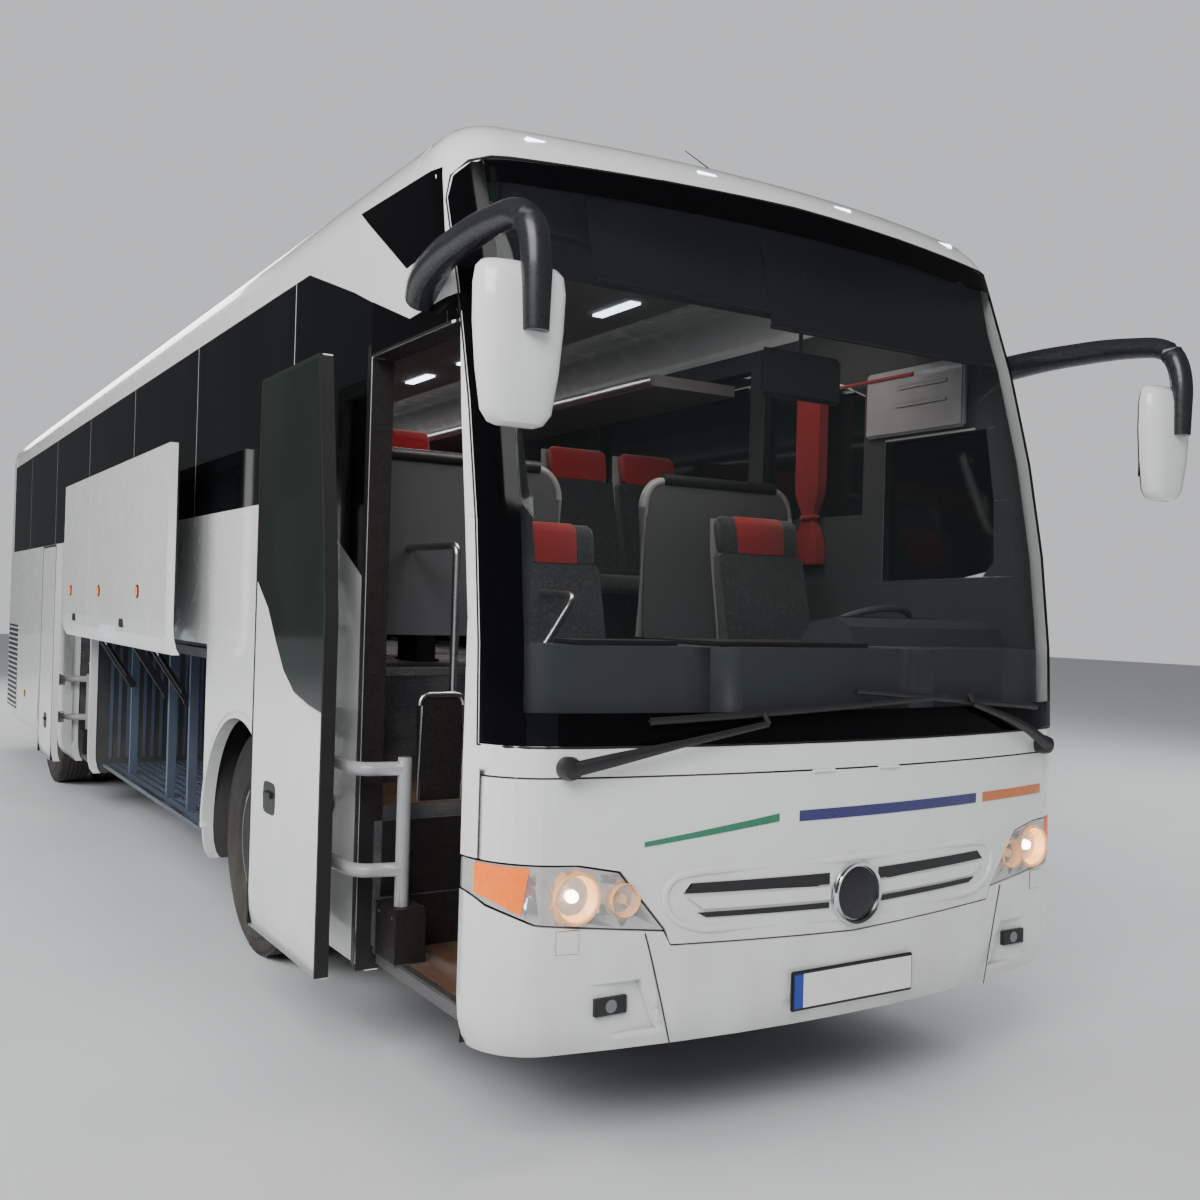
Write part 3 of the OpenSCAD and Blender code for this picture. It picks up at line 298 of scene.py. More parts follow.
def lens(name, colour, alpha, ribs=0.0, glow=0.0):
    """Moulded lamp lens with fine ribs"""
    material, tree, shader, place = blank(name, Roughness=0.08, IOR=1.5, Coat_Weight=0.7,
                                          Coat_Roughness=0.03, Alpha=alpha)
    clouds = remap(tree, noise(tree, place, 30.0), *CLOUDY, 0.85, 1.1)
    fill(tree, shader, {"Base Color": mix(tree, 1.0, colour, clouds, "MULTIPLY")})
    if glow:
        fill(tree, shader, {"Emission Color": colour, "Emission Strength": glow})
    if ribs:
        wave = node(tree, "ShaderNodeTexWave", {"Scale": ribs, "Vector": place}, bands_direction="Z")
        bump(tree, shader, wave.outputs["Fac"], 0.4)
    return material


def woven(name, colour, second, threads=420.0, fleck=0.5):
    """Woven cloth: crossing threads, flecks of a second colour and a soft sheen"""
    material, tree, shader, place = blank(name, Roughness=0.9, Sheen_Weight=0.35, Sheen_Roughness=0.5)
    x, y, z = node(tree, "ShaderNodeSeparateXYZ", {0: place}).outputs
    warp, weft = (maths(tree, "SINE", maths(tree, "MULTIPLY", value, threads * ONE_WAVE))
                  for value in (maths(tree, "ADD", x, y), z))
    weave = maths(tree, "MULTIPLY", warp, weft)
    flecks = remap(tree, noise(tree, place, 90.0, 6.0), 0.52, 0.62, 0.0, fleck)
    cloth = mix(tree, flecks, colour, second)
    cloth = mix(tree, 1.0, cloth, remap(tree, weave, -1, 1, 0.82, 1.06), "MULTIPLY")
    fill(tree, shader, {"Base Color": cloth})
    bump(tree, shader, weave, 0.35, 0.0008)
    return material


def floor_finish(name, colour, fleck):
    """Speckled vinyl floor with scuffs"""
    material, tree, shader, place = blank(name)
    specks = remap(tree, noise(tree, place, 260.0, 2.0), 0.56, 0.62, 0.0, 1.0)
    scuffs = remap(tree, noise(tree, place, 9.0, 6.0, (1, 0.3, 1)), 0.45, 0.7, 0.0, 0.35)
    fill(tree, shader, {
        "Base Color": mix(tree, scuffs, mix(tree, specks, colour, fleck), (0.2, 0.17, 0.15)),
        "Roughness": remap(tree, scuffs, 0.0, 0.35, 0.42, 0.7)})
    bump(tree, shader, noise(tree, place, 500.0, 2.0), 0.25, 0.0006)
    return material


def brushed(name, colour, rough, stretch=(1, 1, 30)):
    """Brushed or rolled metal with fine lines"""
    material, tree, shader, place = blank(name, Metallic=1.0)
    lines = noise(tree, place, 120.0, 5.0, stretch)
    fill(tree, shader, {
        "Base Color": mix(tree, 1.0, colour, remap(tree, lines, *CLOUDY, 0.9, 1.05), "MULTIPLY"),
        "Roughness": remap(tree, lines, *CLOUDY, rough * 0.8, rough * 1.3)})
    bump(tree, shader, lines, 0.08, 0.0004)
    return material


PAINT = finish("body_paint", (0.80, 0.81, 0.80), 0.24, 0.035, 0.8, 0.05, 90.0, 0.32, 1.1,
               Coat_Weight=0.8, Coat_Roughness=0.05)
TRIM = finish("black_trim", (0.018, 0.018, 0.019), 0.42, 0.12, 8.0, 0.3, 600.0)
RUBBER = finish("rubber_seal", (0.012, 0.012, 0.012), 0.68, 0.15, 12.0, 0.3, 400.0)
SHELL_BLACK = finish("mirror_arm_shell", (0.022, 0.023, 0.026), 0.3, 0.1, 6.0, 0.35, 700.0, Coat_Weight=0.2)
BAND = tinted("band_glass", (0.002, 0.0025, 0.003), 0.985, 0.03, 0.01, 0.0, 0.45)
DOOR_GLASS = tinted("door_glass", (0.012, 0.017, 0.015), 0.93, 0.04, 0.03, 0.0, 0.45)
SCREEN = tinted("screen_glass", (0.02, 0.025, 0.025), 0.2, 0.02, 0.03, 0.1, 0.5)
FRIT = finish("ceramic_print", (0.003, 0.003, 0.0035), 0.08, 0.1, 20.0, Specular_IOR_Level=0.12)
STAIR_WALL = finish("stair_wall", (0.013, 0.010, 0.009), 0.55, 0.15, 9.0, 0.4, 300.0)
CHROME = brushed("bright_chrome", (0.78, 0.79, 0.80), 0.07, (1, 1, 1))
MIRROR_GLASS = brushed("mirror_glass", (0.86, 0.88, 0.9), 0.02, (1, 1, 1))
RAIL = brushed("rail_steel", (0.62, 0.63, 0.65), 0.28)
ALUMINIUM = brushed("sill_aluminium", (0.66, 0.67, 0.68), 0.32, (1, 30, 1))
GREY_ARM = finish("grey_arm_paint", (0.36, 0.36, 0.37), 0.34, 0.1, 10.0, 0.1, 300.0, 0.15, 1.0,
                  Coat_Weight=0.3)
CHASSIS = finish("chassis_paint", (0.035, 0.036, 0.04), 0.5, 0.25, 5.0, 0.3, 150.0, 0.5, 1.0)
IRON = finish("engine_iron", (0.14, 0.14, 0.145), 0.62, 0.25, 7.0, 0.6, 120.0, Metallic=0.6)
DASH = finish("dash_plastic", (0.055, 0.062, 0.068), 0.55, 0.08, 10.0, 0.7, 500.0)
LAMINATE = finish("grey_laminate", (0.125, 0.13, 0.14), 0.45, 0.06, 14.0, 0.25, 600.0)
WALL_CLOTH = finish("wall_lining", (0.045, 0.046, 0.052), 0.8, 0.1, 9.0, 0.5, 400.0)
LINER = finish("ceiling_liner", (0.24, 0.235, 0.225), 0.7, 0.06, 9.0, 0.5, 300.0)
BAY_BLUE = finish("bay_panel", (0.085, 0.11, 0.16), 0.42, 0.18, 4.0, 0.2, 200.0, 0.25, 1.1, Metallic=0.15)
ENTRY_FLOOR = floor_finish("entry_floor", (0.085, 0.043, 0.026), (0.15, 0.09, 0.06))
AISLE_FLOOR = floor_finish("aisle_floor", (0.05, 0.052, 0.06), (0.13, 0.13, 0.14))
SEAT_CLOTH = woven("seat_cloth", (0.028, 0.03, 0.036), (0.10, 0.10, 0.115))
HEAD_RED = woven("headrest_cloth", (0.42, 0.012, 0.016), (0.3, 0.01, 0.012), 380.0, 0.3)
CURTAIN_RED = woven("curtain_cloth", (0.40, 0.016, 0.02), (0.3, 0.01, 0.014), 500.0, 0.4)
RIM = finish("rim_steel", (0.40, 0.41, 0.42), 0.38, 0.15, 12.0, 0.2, 300.0, 0.45, 0.9, Metallic=0.4)
NUT = brushed("nut_steel", (0.5, 0.5, 0.5), 0.35, (1, 1, 1))
TYRE = finish("tyre_rubber", (0.022, 0.022, 0.022), 0.8, 0.2, 9.0, 0.5, 300.0, 0.4, 0.9)
RED_LENS = lens("red_lens", (0.42, 0.008, 0.008), 0.96, 55.0)
AMBER_LENS = lens("amber_lens", (0.85, 0.24, 0.02), 0.95, 45.0, 0.5)
CLEAR_LENS = lens("clear_lens", (0.85, 0.87, 0.9), 0.14)
BULB = glowing("lit_bulb", (1.0, 0.80, 0.55), 22.0)
LIT_BOWL = glowing("lit_reflector", (1.0, 0.52, 0.20), 1.6)
# Painted reflection: a faint warm glow on the unlit inner lamps and the lamp rims, standing for the lit
# headlamps' light
PAINTED_GLOW_CASE = glowing("painted_glow_reflector", (0.80, 0.45, 0.22), 0.5)
ROOF_LAMP = glowing("lit_roof_lamp", (0.75, 0.88, 1.0), 7.0)
AMBER_GLOW = glowing("lit_marker", (1.0, 0.19, 0.005), 0.55)
GREY_LINER = finish("flap_liner", (0.16, 0.165, 0.175), 0.6, 0.1, 8.0, 0.3, 300.0)
LAMP_CASE = finish("lamp_case", (0.62, 0.60, 0.57), 0.16, 0.05, 20.0, Metallic=0.95)
PLATE = finish("blank_plate", (0.78, 0.78, 0.76), 0.4, 0.04, 20.0, 0.1, 500.0)
PLATE_BLUE = finish("plate_band", (0.02, 0.05, 0.32), 0.4, 0.05, 20.0)
STRIPE_GREEN = finish("stripe_green", (0.03, 0.19, 0.10), 0.3, 0.06, 6.0, Coat_Weight=0.5)
STRIPE_NAVY = finish("stripe_navy", (0.03, 0.03, 0.15), 0.3, 0.06, 6.0, Coat_Weight=0.5)
STRIPE_ORANGE = finish("stripe_orange", (0.62, 0.16, 0.03), 0.3, 0.06, 6.0, Coat_Weight=0.5)


# Shapes, each added to a bmesh
def fresh(count):
    return [bmesh.new() for _ in range(count)]


def slab(bm, lo, hi, edge=0.0):
    """Box from lo to hi with its edges rounded"""
    centre = (Vector(lo) + Vector(hi)) / 2
    size = Vector(hi) - Vector(lo)
    made = bmesh.ops.create_cube(bm, size=1.0, matrix=Matrix.Diagonal((*size, 1.0)))["verts"]
    if edge:
        edges = list({e for v in made for e in v.link_edges})
        made = list(set(bmesh.ops.bevel(bm, geom=edges, offset=edge, segments=2, affect="EDGES")["verts"]))
    bmesh.ops.transform(bm, matrix=Matrix.Translation(centre), verts=made)


def block(bm, xs, ds, zs, edge=0.0, back=0.0):
    """Slab between two places on each axis, moved back with an open door"""
    x0, x1 = sorted(xs)
    slab(bm, (x0, at(ds[0]) + back, zs[0]), (x1, at(ds[1]) + back, zs[1]), edge)


def ring_skin(bm, rings):
    """Skin over rings of equal length, capped at both ends"""
    rows = [[bm.verts.new(p) for p in ring] for ring in rings]
    for low, high in zip(rows, rows[1:]):
        for k in range(len(low)):
            n = (k + 1) % len(low)
            bm.faces.new((low[k], low[n], high[n], high[k]))
    bm.faces.new(list(reversed(rows[0])))
    bm.faces.new(rows[-1])


def prism(bm, outline, place, low, high, edge):
    """Outline (u, v) drawn out from low to high, its rims bevelled; place turns (u, v, w) into a point"""
    middle = [sum(p[i] for p in outline) / len(outline) for i in (0, 1)]
    span = max(max(abs(p[i] - middle[i]) for p in outline) for i in (0, 1))
    shrink = 1 - edge / span
    small = [[m + (v - m) * shrink for m, v in zip(middle, p)] for p in outline]
    levels = ((small, low), (outline, low + edge), (outline, high - edge), (small, high))
    ring_skin(bm, [[place(u, v, w) for u, v in points] for points, w in levels])


def rounded(points, radius, steps=5):
    """Path with its inner corners rounded, each taking less than half of the legs beside it"""
    share = 0.48
    points = [Vector(p) for p in points]
    path = [points[0]]
    for before, corner, after in zip(points, points[1:], points[2:]):
        a, b = (corner + (end - corner).normalized() * min(radius, (end - corner).length * share)
                for end in (before, after))
        for k in range(steps + 1):
            t = k / steps
            path.append(a * (1 - t) ** 2 + corner * 2 * t * (1 - t) + b * t * t)
    return path + [points[-1]]


def rod(bm, points, radius, sides=14, flat=1.0, across=UPWARD, ends=None):
    """Bar swept along points; flat squeezes it along the direction across, ends are its radii's scale"""
    points = [Vector(p) for p in points]
    across = Vector(across)
    rings = []
    for k, p in enumerate(points):
        along = (points[min(k + 1, len(points) - 1)] - points[max(k - 1, 0)]).normalized()
        up = across - along * across.dot(along)
        up = up.normalized() if up.length > NO_RADIUS else along.orthogonal().normalized()
        side = along.cross(up)
        size = radius * (ends[k] if ends else 1.0)
        rings.append([p + size * (math.cos(a) * side + math.sin(a) * flat * up) for a in angles(sides)])
    ring_skin(bm, rings)


def hoop(bm, centre, u, v, count, radius, sides):
    """Closed ring of bar round a centre; u and v are its half axes"""
    ring = [[c + math.cos(a) * p + math.sin(a) * q for c, p, q in zip(centre, u, v)] for a in angles(count)]
    rod(bm, ring + [ring[0]], radius, sides)


def turned(bm, profile, centre, axis, steps=28):
    """Turned shape; the profile is (radius, place along the axis)"""
    axis = Vector(axis).normalized()
    side = axis.orthogonal().normalized()
    other = axis.cross(side)
    centre = Vector(centre)
    ring_skin(bm, [[centre + axis * t + max(r, NO_RADIUS) * (math.cos(a) * side + math.sin(a) * other)
                    for a in angles(steps)] for r, t in profile])


def patch(bm, corners, point, insets, across, up):
    """Thin slab between four corners on a surface, whose points come from point(u, v, inset)"""
    grids = []
    for inset in insets:
        grid = []
        for j in range(up + 1):
            v = j / up
            row = []
            for i in range(across + 1):
                u = i / across
                place = [(1 - v) * ((1 - u) * p + u * q) + v * ((1 - u) * t + u * r)
                         for p, q, r, t in zip(*corners)]
                row.append(bm.verts.new(point(*place, inset)))
            grid.append(row)
        grids.append(grid)
        for low, high in zip(grid, grid[1:]):
            for k in range(across):
                bm.faces.new((low[k], low[k + 1], high[k + 1], high[k]))
    front, back = (g[0] + [row[-1] for row in g[1:]] + g[-1][-2::-1] + [row[0] for row in g[-2:0:-1]]
                   for g in grids)
    for k in range(len(front)):
        n = (k + 1) % len(front)
        bm.faces.new((front[k], front[n], back[n], back[k]))


def nose_patch(bm, corners, proud, depth, across, up):
    """Patch of the front between four corners (x, z)"""
    patch(bm, corners, on_nose, (-proud, depth), across, up)


def flank_patch(bm, corners, s, proud, depth, across, up):
    """Patch of a side between four corners (d, z)"""
    patch(bm, corners, lambda d, z, inset: flank(d, z, s, inset), (-proud, depth), across, up)


# Pieces
def shown(made):
    bpy.context.scene.collection.objects.link(made)
    return made


def piece(name, bm, material, body="coach", sharp=SHARP):
    """Finished mesh piece riding on a body"""
    bmesh.ops.recalc_face_normals(bm, faces=bm.faces)
    return mesh_piece(name, bm, material, body, sharp)


def mesh_piece(name, bm, material, body, sharp):
    mesh = bpy.data.meshes.new(name)
    bm.to_mesh(mesh)
    bm.free()
    made = shown(bpy.data.objects.new(name, mesh))
    mesh.materials.append(material)
    mesh.polygons.foreach_set("use_smooth", [True] * len(mesh.polygons))
    mesh.set_sharp_from_angle(angle=math.radians(sharp))
    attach(made, body)
    return made


def dressed(name, material):
    """Smooth copy of a CAD node, standing for it"""
    source = frame["nodes"][name]
    bm = bmesh.new()
    bm.from_mesh(source.data)
    bmesh.ops.remove_doubles(bm, verts=bm.verts, dist=WELD)
    bmesh.ops.dissolve_degenerate(bm, dist=NO_EDGE, edges=bm.edges)
    made = mesh_piece("dressed_" + name, bm, material, body_of(source)[0], CAD_SHARP)
    even = made.modifiers.new("even_normals", "WEIGHTED_NORMAL")
    even.keep_sharp = True
    even.weight = 90
    shape = bpy.context.evaluated_depsgraph_get()
    mesh = bpy.data.meshes.new_from_object(made.evaluated_get(shape))
    made.modifiers.clear()
    made.data = mesh
    mesh.materials[0] = material
    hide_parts(name)


def painted(name, material):
    """CAD node kept as it is, with its own material"""
    mesh = frame["nodes"][name].data
    mesh.materials.clear()
    mesh.materials.append(material)


# Repeats, each made by a node tree with named inputs
def new_tree(name, inputs):
    """Empty geometry tree with named inputs and a material, its output ready"""
    tree = bpy.data.node_groups.new(name, "GeometryNodeTree")
    tree.is_modifier = True
    for key, kind in (*inputs.items(), ("Material", "Material")):
        tree.interface.new_socket(name=key, in_out="INPUT", socket_type="NodeSocket" + kind)
    tree.interface.new_socket(name="Geometry", in_out="OUTPUT", socket_type="NodeSocketGeometry")
    return tree, node(tree, "NodeGroupInput").outputs


def end_tree(tree, given, points, instance, rotation):
    """One instance on each point, made real and given its material"""
    copies = node(tree, "GeometryNodeInstanceOnPoints",
                  {"Points": points, "Instance": instance, "Rotation": rotation})
    real = node(tree, "GeometryNodeRealizeInstances", {0: copies.outputs[0]})
    inputs = {"Geometry": real.outputs[0], "Material": given["Material"]}
    skin = node(tree, "GeometryNodeSetMaterial", inputs)
    node(tree, "NodeGroupOutput", {0: skin.outputs[0]})
    return tree


def row_tree():
    """Row of equal bars along a straight step"""
    inputs = {"Count": "Int", "Step": "Vector", "Bar": "Vector", "Tilt": "Vector"}
    tree, given = new_tree("row_of_bars", inputs)
    line = node(tree, "GeometryNodeMeshLine", {"Count": given["Count"], "Offset": given["Step"]})
    bar = node(tree, "GeometryNodeMeshCube", {"Size": given["Bar"]})
    return end_tree(tree, given, line.outputs[0], bar.outputs[0], given["Tilt"])


def ring_tree(name, is_block):
    """Ring of blocks or of six-sided nuts round the Z axis, each turned to face outwards"""
    tree, given = new_tree(name, {"Count": "Int", "Radius": "Float", "Size": "Vector"})
    ring = node(tree, "GeometryNodeMeshCircle", {"Vertices": given["Count"], "Radius": given["Radius"]})
    if is_block:
        shape = node(tree, "GeometryNodeMeshCube", {"Size": given["Size"]})
    else:
        size = node(tree, "ShaderNodeSeparateXYZ", {0: given["Size"]}).outputs
        shape = node(tree, "GeometryNodeMeshCylinder", {"Vertices": 6, "Radius": size[0], "Depth": size[2]})
    index = node(tree, "GeometryNodeInputIndex").outputs[0]
    whole = maths(tree, "MULTIPLY", maths(tree, "DIVIDE", index, given["Count"]), 2 * math.pi)
    spin = node(tree, "ShaderNodeCombineXYZ", {2: whole})
    return end_tree(tree, given, ring.outputs[0], shape.outputs[0], spin.outputs[0])


def grown(tree, material, matrices, **values):
    """Mesh that a tree makes, copied to each matrix"""
    seed = shown(bpy.data.objects.new("seed", bpy.data.meshes.new("seed")))
    rule = seed.modifiers.new("rule", "NODES")
    rule.node_group = tree
    for socket in tree.interface.items_tree:
        if socket.in_out == "INPUT":
            rule[socket.identifier] = material if socket.name == "Material" else values[socket.name]
    shape = bpy.context.evaluated_depsgraph_get()
    one = bpy.data.meshes.new_from_object(seed.evaluated_get(shape))
    bpy.data.objects.remove(seed)
    bm = bmesh.new()
    for matrix in matrices:
        start = len(bm.verts)
        bm.from_mesh(one)
        bm.verts.ensure_lookup_table()
        bmesh.ops.transform(bm, matrix=matrix, verts=bm.verts[start:])
    return bm


ROW = row_tree()
BLOCK_RING = ring_tree("ring_of_blocks", True)
NUT_RING = ring_tree("ring_of_nuts", False)


def bars(material, places, count, step, bar, tilt=(0, 0, 0)):
    """Row of bars at each place"""
    places = [Matrix.Translation(p) for p in places]
    return grown(ROW, material, places, Count=count, Step=step, Bar=bar, Tilt=tilt)


def studs(tree, material, places, angle, count, radius, size):
    """Ring of blocks or nuts at each place, turned about Y to face along X"""
    places = [Matrix.Translation(p) @ Matrix.Rotation(angle, 4, "Y") for p in places]
    return grown(tree, material, places, Count=count, Radius=radius, Size=size)


# Camera, floor and light
def photographers_camera():
    """The photo's camera, solved from the coach's known sizes"""
    yaw, pitch, roll = (math.radians(a) for a in (31.763, 0.3836, 1.6026))
    sensor, focal_pixels, frame_pixels = 36, 1233.2, 1200
    ahead = Vector((math.sin(yaw) * math.cos(pitch), math.cos(yaw) * math.cos(pitch), math.sin(pitch)))
    right = Vector((math.cos(yaw), -math.sin(yaw), 0))
    up = right.cross(ahead)
    leaning = right * math.cos(roll) + up * math.sin(roll)
    upright = up * math.cos(roll) - right * math.sin(roll)
    optics = bpy.data.cameras.new("photographer")
    optics.lens = sensor * focal_pixels / frame_pixels
    optics.sensor_width = sensor
    optics.clip_start = 0.1
    optics.clip_end = 200
    camera = shown(bpy.data.objects.new("photographer", optics))
    turn = Matrix((leaning, upright, -ahead)).transposed().to_4x4()
    camera.matrix_world = Matrix.Translation(spot(-2.8955, -3.0258, 1.6728)) @ turn
    bpy.context.scene.camera = camera


def studio_floor():
    """Pale floor of the studio"""
    material, tree, shader, place = blank("pale_floor", Roughness=0.75)
    grain = remap(tree, noise(tree, place, 1.2, 5.0), *CLOUDY, 0.95, 1.0)
    fill(tree, shader, {"Base Color": mix(tree, 1.0, (0.60, 0.61, 0.62), grain, "MULTIPLY")})
    bm = bmesh.new()
    bmesh.ops.create_grid(bm, x_segments=1, y_segments=1, size=45)
    mesh = bpy.data.meshes.new("studio_floor")
    bm.to_mesh(mesh)
    bm.free()
    mesh.materials.append(material)
    ground = shown(bpy.data.objects.new("studio_floor", mesh))


def studio_world():
    """World that looks as pale as the floor behind glass but is dim in reflections"""
    world = bpy.data.worlds.new("studio")
    bpy.context.scene.world = world
    world.use_nodes = True
    tree = world.node_tree
    tree.nodes.clear()
    rays = node(tree, "ShaderNodeLightPath").outputs
    seen = maths(tree, "MAXIMUM", rays["Is Camera Ray"], rays["Is Transmission Ray"])
    sky, horizon = (0.95, 0.97, 1.0), (0.66, 0.67, 0.69)
    light, dim, pale = (node(tree, "ShaderNodeBackground", {"Color": colour, "Strength": power}).outputs[0]
                        for colour, power in ((sky, 0.42), (sky, 0.07), (horizon, 1.0)))
    lit = node(tree, "ShaderNodeMixShader", {0: rays["Is Glossy Ray"], 1: light, 2: dim}).outputs[0]
    both = node(tree, "ShaderNodeMixShader", {0: seen, 1: lit, 2: pale}).outputs[0]
    node(tree, "ShaderNodeOutputWorld", {"Surface": both})


def area_lamp(name, place, target, size, power, colour=(1, 1, 1), mirrored=True):
    data = bpy.data.lights.new(name, "AREA")
    data.shape = "RECTANGLE"
    data.size, data.size_y = size
    data.energy = power
    data.color = colour
    lamp = shown(bpy.data.objects.new(name, data))
    lamp.location = place
    lamp.visible_glossy = mirrored
    lamp.rotation_mode = "QUATERNION"
    lamp.rotation_quaternion = (Vector(target) - Vector(place)).to_track_quat("-Z", "Y")


def lamps():
    area_lamp("over_front_right", (-7, -11, 8), (0, -3, 1.4), (7, 6), 1150)
    area_lamp("along_the_side", (-11, 1, 7), (0, 1, 1.5), (12, 5), 1250, mirrored=False)
    area_lamp("fill_left", (10, -4, 7), (0, 0, 1.5), (10, 6), 900, mirrored=False)
    area_lamp("behind", (2, 14, 7), (0, 5, 1.5), (8, 5), 700)
    area_lamp("in_the_cab", (0.1, at(1.3), 3.18), (0.1, at(1.3), 0.5), (1.4, 0.7), 20, (1, 0.93, 0.85))
    area_lamp("over_the_aisle", (0, 1.0, 3.19), (0, 1.0, 0.5), (0.5, 8), 60, (1, 0.94, 0.88))
    area_lamp("in_the_bays", (-0.35, at(5.0), 1.32), (-0.5, at(5.0), 0.3), (0.5, 2.8), 9, (0.7, 0.82, 1))


# Front of the body
def screen_print():
    """Black printed border over the windscreen's edges, and its seal"""
    bm = bmesh.new()
    inner = 1.174
    print_depth = (0.0009, 0.0003)
    edge = [(1.26, 1.262), (1.26, 2.0), (1.26, 2.98), (1.246, 3.052), (1.205, 3.092)]
    for s in SIDES:
        for (a, low), (b, high) in zip(edge, edge[1:]):
            corners = sided(s, [(a, low), (inner, low), (inner, high), (b, high)])
            nose_patch(bm, corners, *print_depth, 12, 10)
        corners = sided(s, [(1.173, 3.02), (0.56, 3.02), (0.56, 3.124), (1.173, 3.098)])
        nose_patch(bm, corners, *print_depth, 12, 3)
    nose_patch(bm, oblong(-1.173, 1.173, 1.262, 1.36), *print_depth, 24, 2)
    nose_patch(bm, oblong(-0.559, 0.559, 3.02, 3.128), *print_depth, 12, 3)
    piece("screen_print", bm, FRIT)
    bm = bmesh.new()
    half = [(1.2605, 1.258), (1.2605, 2.98), (1.249, 3.053), (1.208, 3.098), (1.15, 3.111)]
    path = [Vector((x, 0, z)) for x, z in sided(-1, half) + [(0, 3.134)] + half[::-1]]
    loop = []
    for a, b in zip(path, path[1:] + [path[0]]):
        steps = max(int((b - a).length / 0.05), 1)
        places = (a + (b - a) * k / steps for k in range(steps))
        loop += [on_nose(p.x, p.z, 0.002) for p in places]
    rod(bm, loop + [loop[0]], 0.0045, 8)
    piece("screen_seal", bm, RUBBER)


def front_lamps():
    """Reflector bowls with their bulbs and rims, and the amber indicators on the lamp covers; the unlit
    inner bowls and the rims carry a painted glow
    """
    lit, plain, bulbs, amber, rims = fresh(5)
    for s in SIDES:
        for x, z, r, d, bowls in ((0.86, 0.80, 0.05, 0.062, plain), (1.01, 0.812, 0.068, 0.097, lit)):
            x *= s
            bowl = [(0.0, 0.1), (r * 0.5, 0.092), (r * 0.86, 0.056), (r * 1.02, 0.0), (r, 0.0),
                    (r * 0.98, 0.012), (r * 0.8, 0.05), (r * 0.45, 0.082), (0.012, 0.094), (0.0, 0.094)]
            turned(bowls, bowl, spot(x, d, z), ALONG, 40)
            if bowls is plain:
                bulb = [(0.0, 0.018), (0.015, 0.022), (0.016, 0.05), (0.0, 0.054)]
                turned(bowls, bulb, spot(x, d, z), ALONG, 20)
                continue
            bulb = [(0.0, 0.016), (0.016, 0.022), (0.022, 0.045), (0.016, 0.075), (0.0, 0.085)]
            turned(bulbs, bulb, spot(x, d, z), ALONG, 16)
            hoop(rims, (x, at(d) - 0.002, z), (r * 1.1, 0, 0), (0, 0, r * 1.1), 40, r * 0.08, 8)
        corners = sided(s, [(1.262, 0.82), (1.17, 0.766), (1.15, 0.904), (1.262, 0.91)])
        nose_patch(amber, corners, 0.0006, 0.002, 12, 6)
    piece("lamp_bowls", lit, LIT_BOWL)
    # The unlit inner bowls with their bulbs, and the rims, get a painted glow for the lit lamps' reflected
    # light
    piece("inner_lamp_bowls", plain, PAINTED_GLOW_CASE)
    piece("lamp_bulbs", bulbs, BULB)
    piece("lamp_rims", rims, PAINTED_GLOW_CASE)
    piece("indicator_lenses", amber, AMBER_GLOW)


def grille():
    """Moulded blade and lips round the two slots, with a plain disc in the middle"""
    blade, slots, ring, disc = fresh(4)
    lip = [(0.0, 0.868), (0.60, 0.872), (0.70, 0.86), (0.735, 0.80), (0.70, 0.725), (0.60, 0.69),
           (0.0, 0.675)]
    for s in SIDES:
        path = rounded([(x, 0, z) for x, z in sided(s, lip)], 0.05)
        rod(blade, [on_nose(p.x, p.z, -0.001) for p in path], 0.011, 10, 0.6, ALONG)
        corners = sided(s, [(0.11, 0.745), (0.60, 0.757), (0.655, 0.795), (0.11, 0.785)])
        nose_patch(blade, corners, 0.011, 0.0, 10, 2)
        for corners in ([(0.11, 0.792), (0.665, 0.806), (0.63, 0.836), (0.11, 0.829)],
                        [(0.11, 0.715), (0.585, 0.728), (0.615, 0.744), (0.11, 0.733)]):
            nose_patch(slots, sided(s, corners), 0.0035, 0.0, 10, 1)
    centre = on_nose(0, 0.757, -0.004)
    for bm, profile in (
            (ring, [(0.0, 0.004), (0.1, 0.004), (0.106, -0.004), (0.106, -0.014), (0.1, -0.024),
                    (0.091, -0.022), (0.088, -0.012), (0.0, -0.012)]),
            (disc, [(0.0, -0.004), (0.0865, -0.004), (0.0865, -0.014), (0.06, -0.018), (0.0, -0.0195)])):
        turned(bm, profile, centre, ALONG, 56)
    piece("grille_blade", blade, PAINT, "nose_flap")
    piece("grille_slots", slots, TRIM, "nose_flap")
    piece("plain_disc_ring", ring, CHROME, "nose_flap")
    piece("plain_disc", disc, TRIM, "nose_flap")


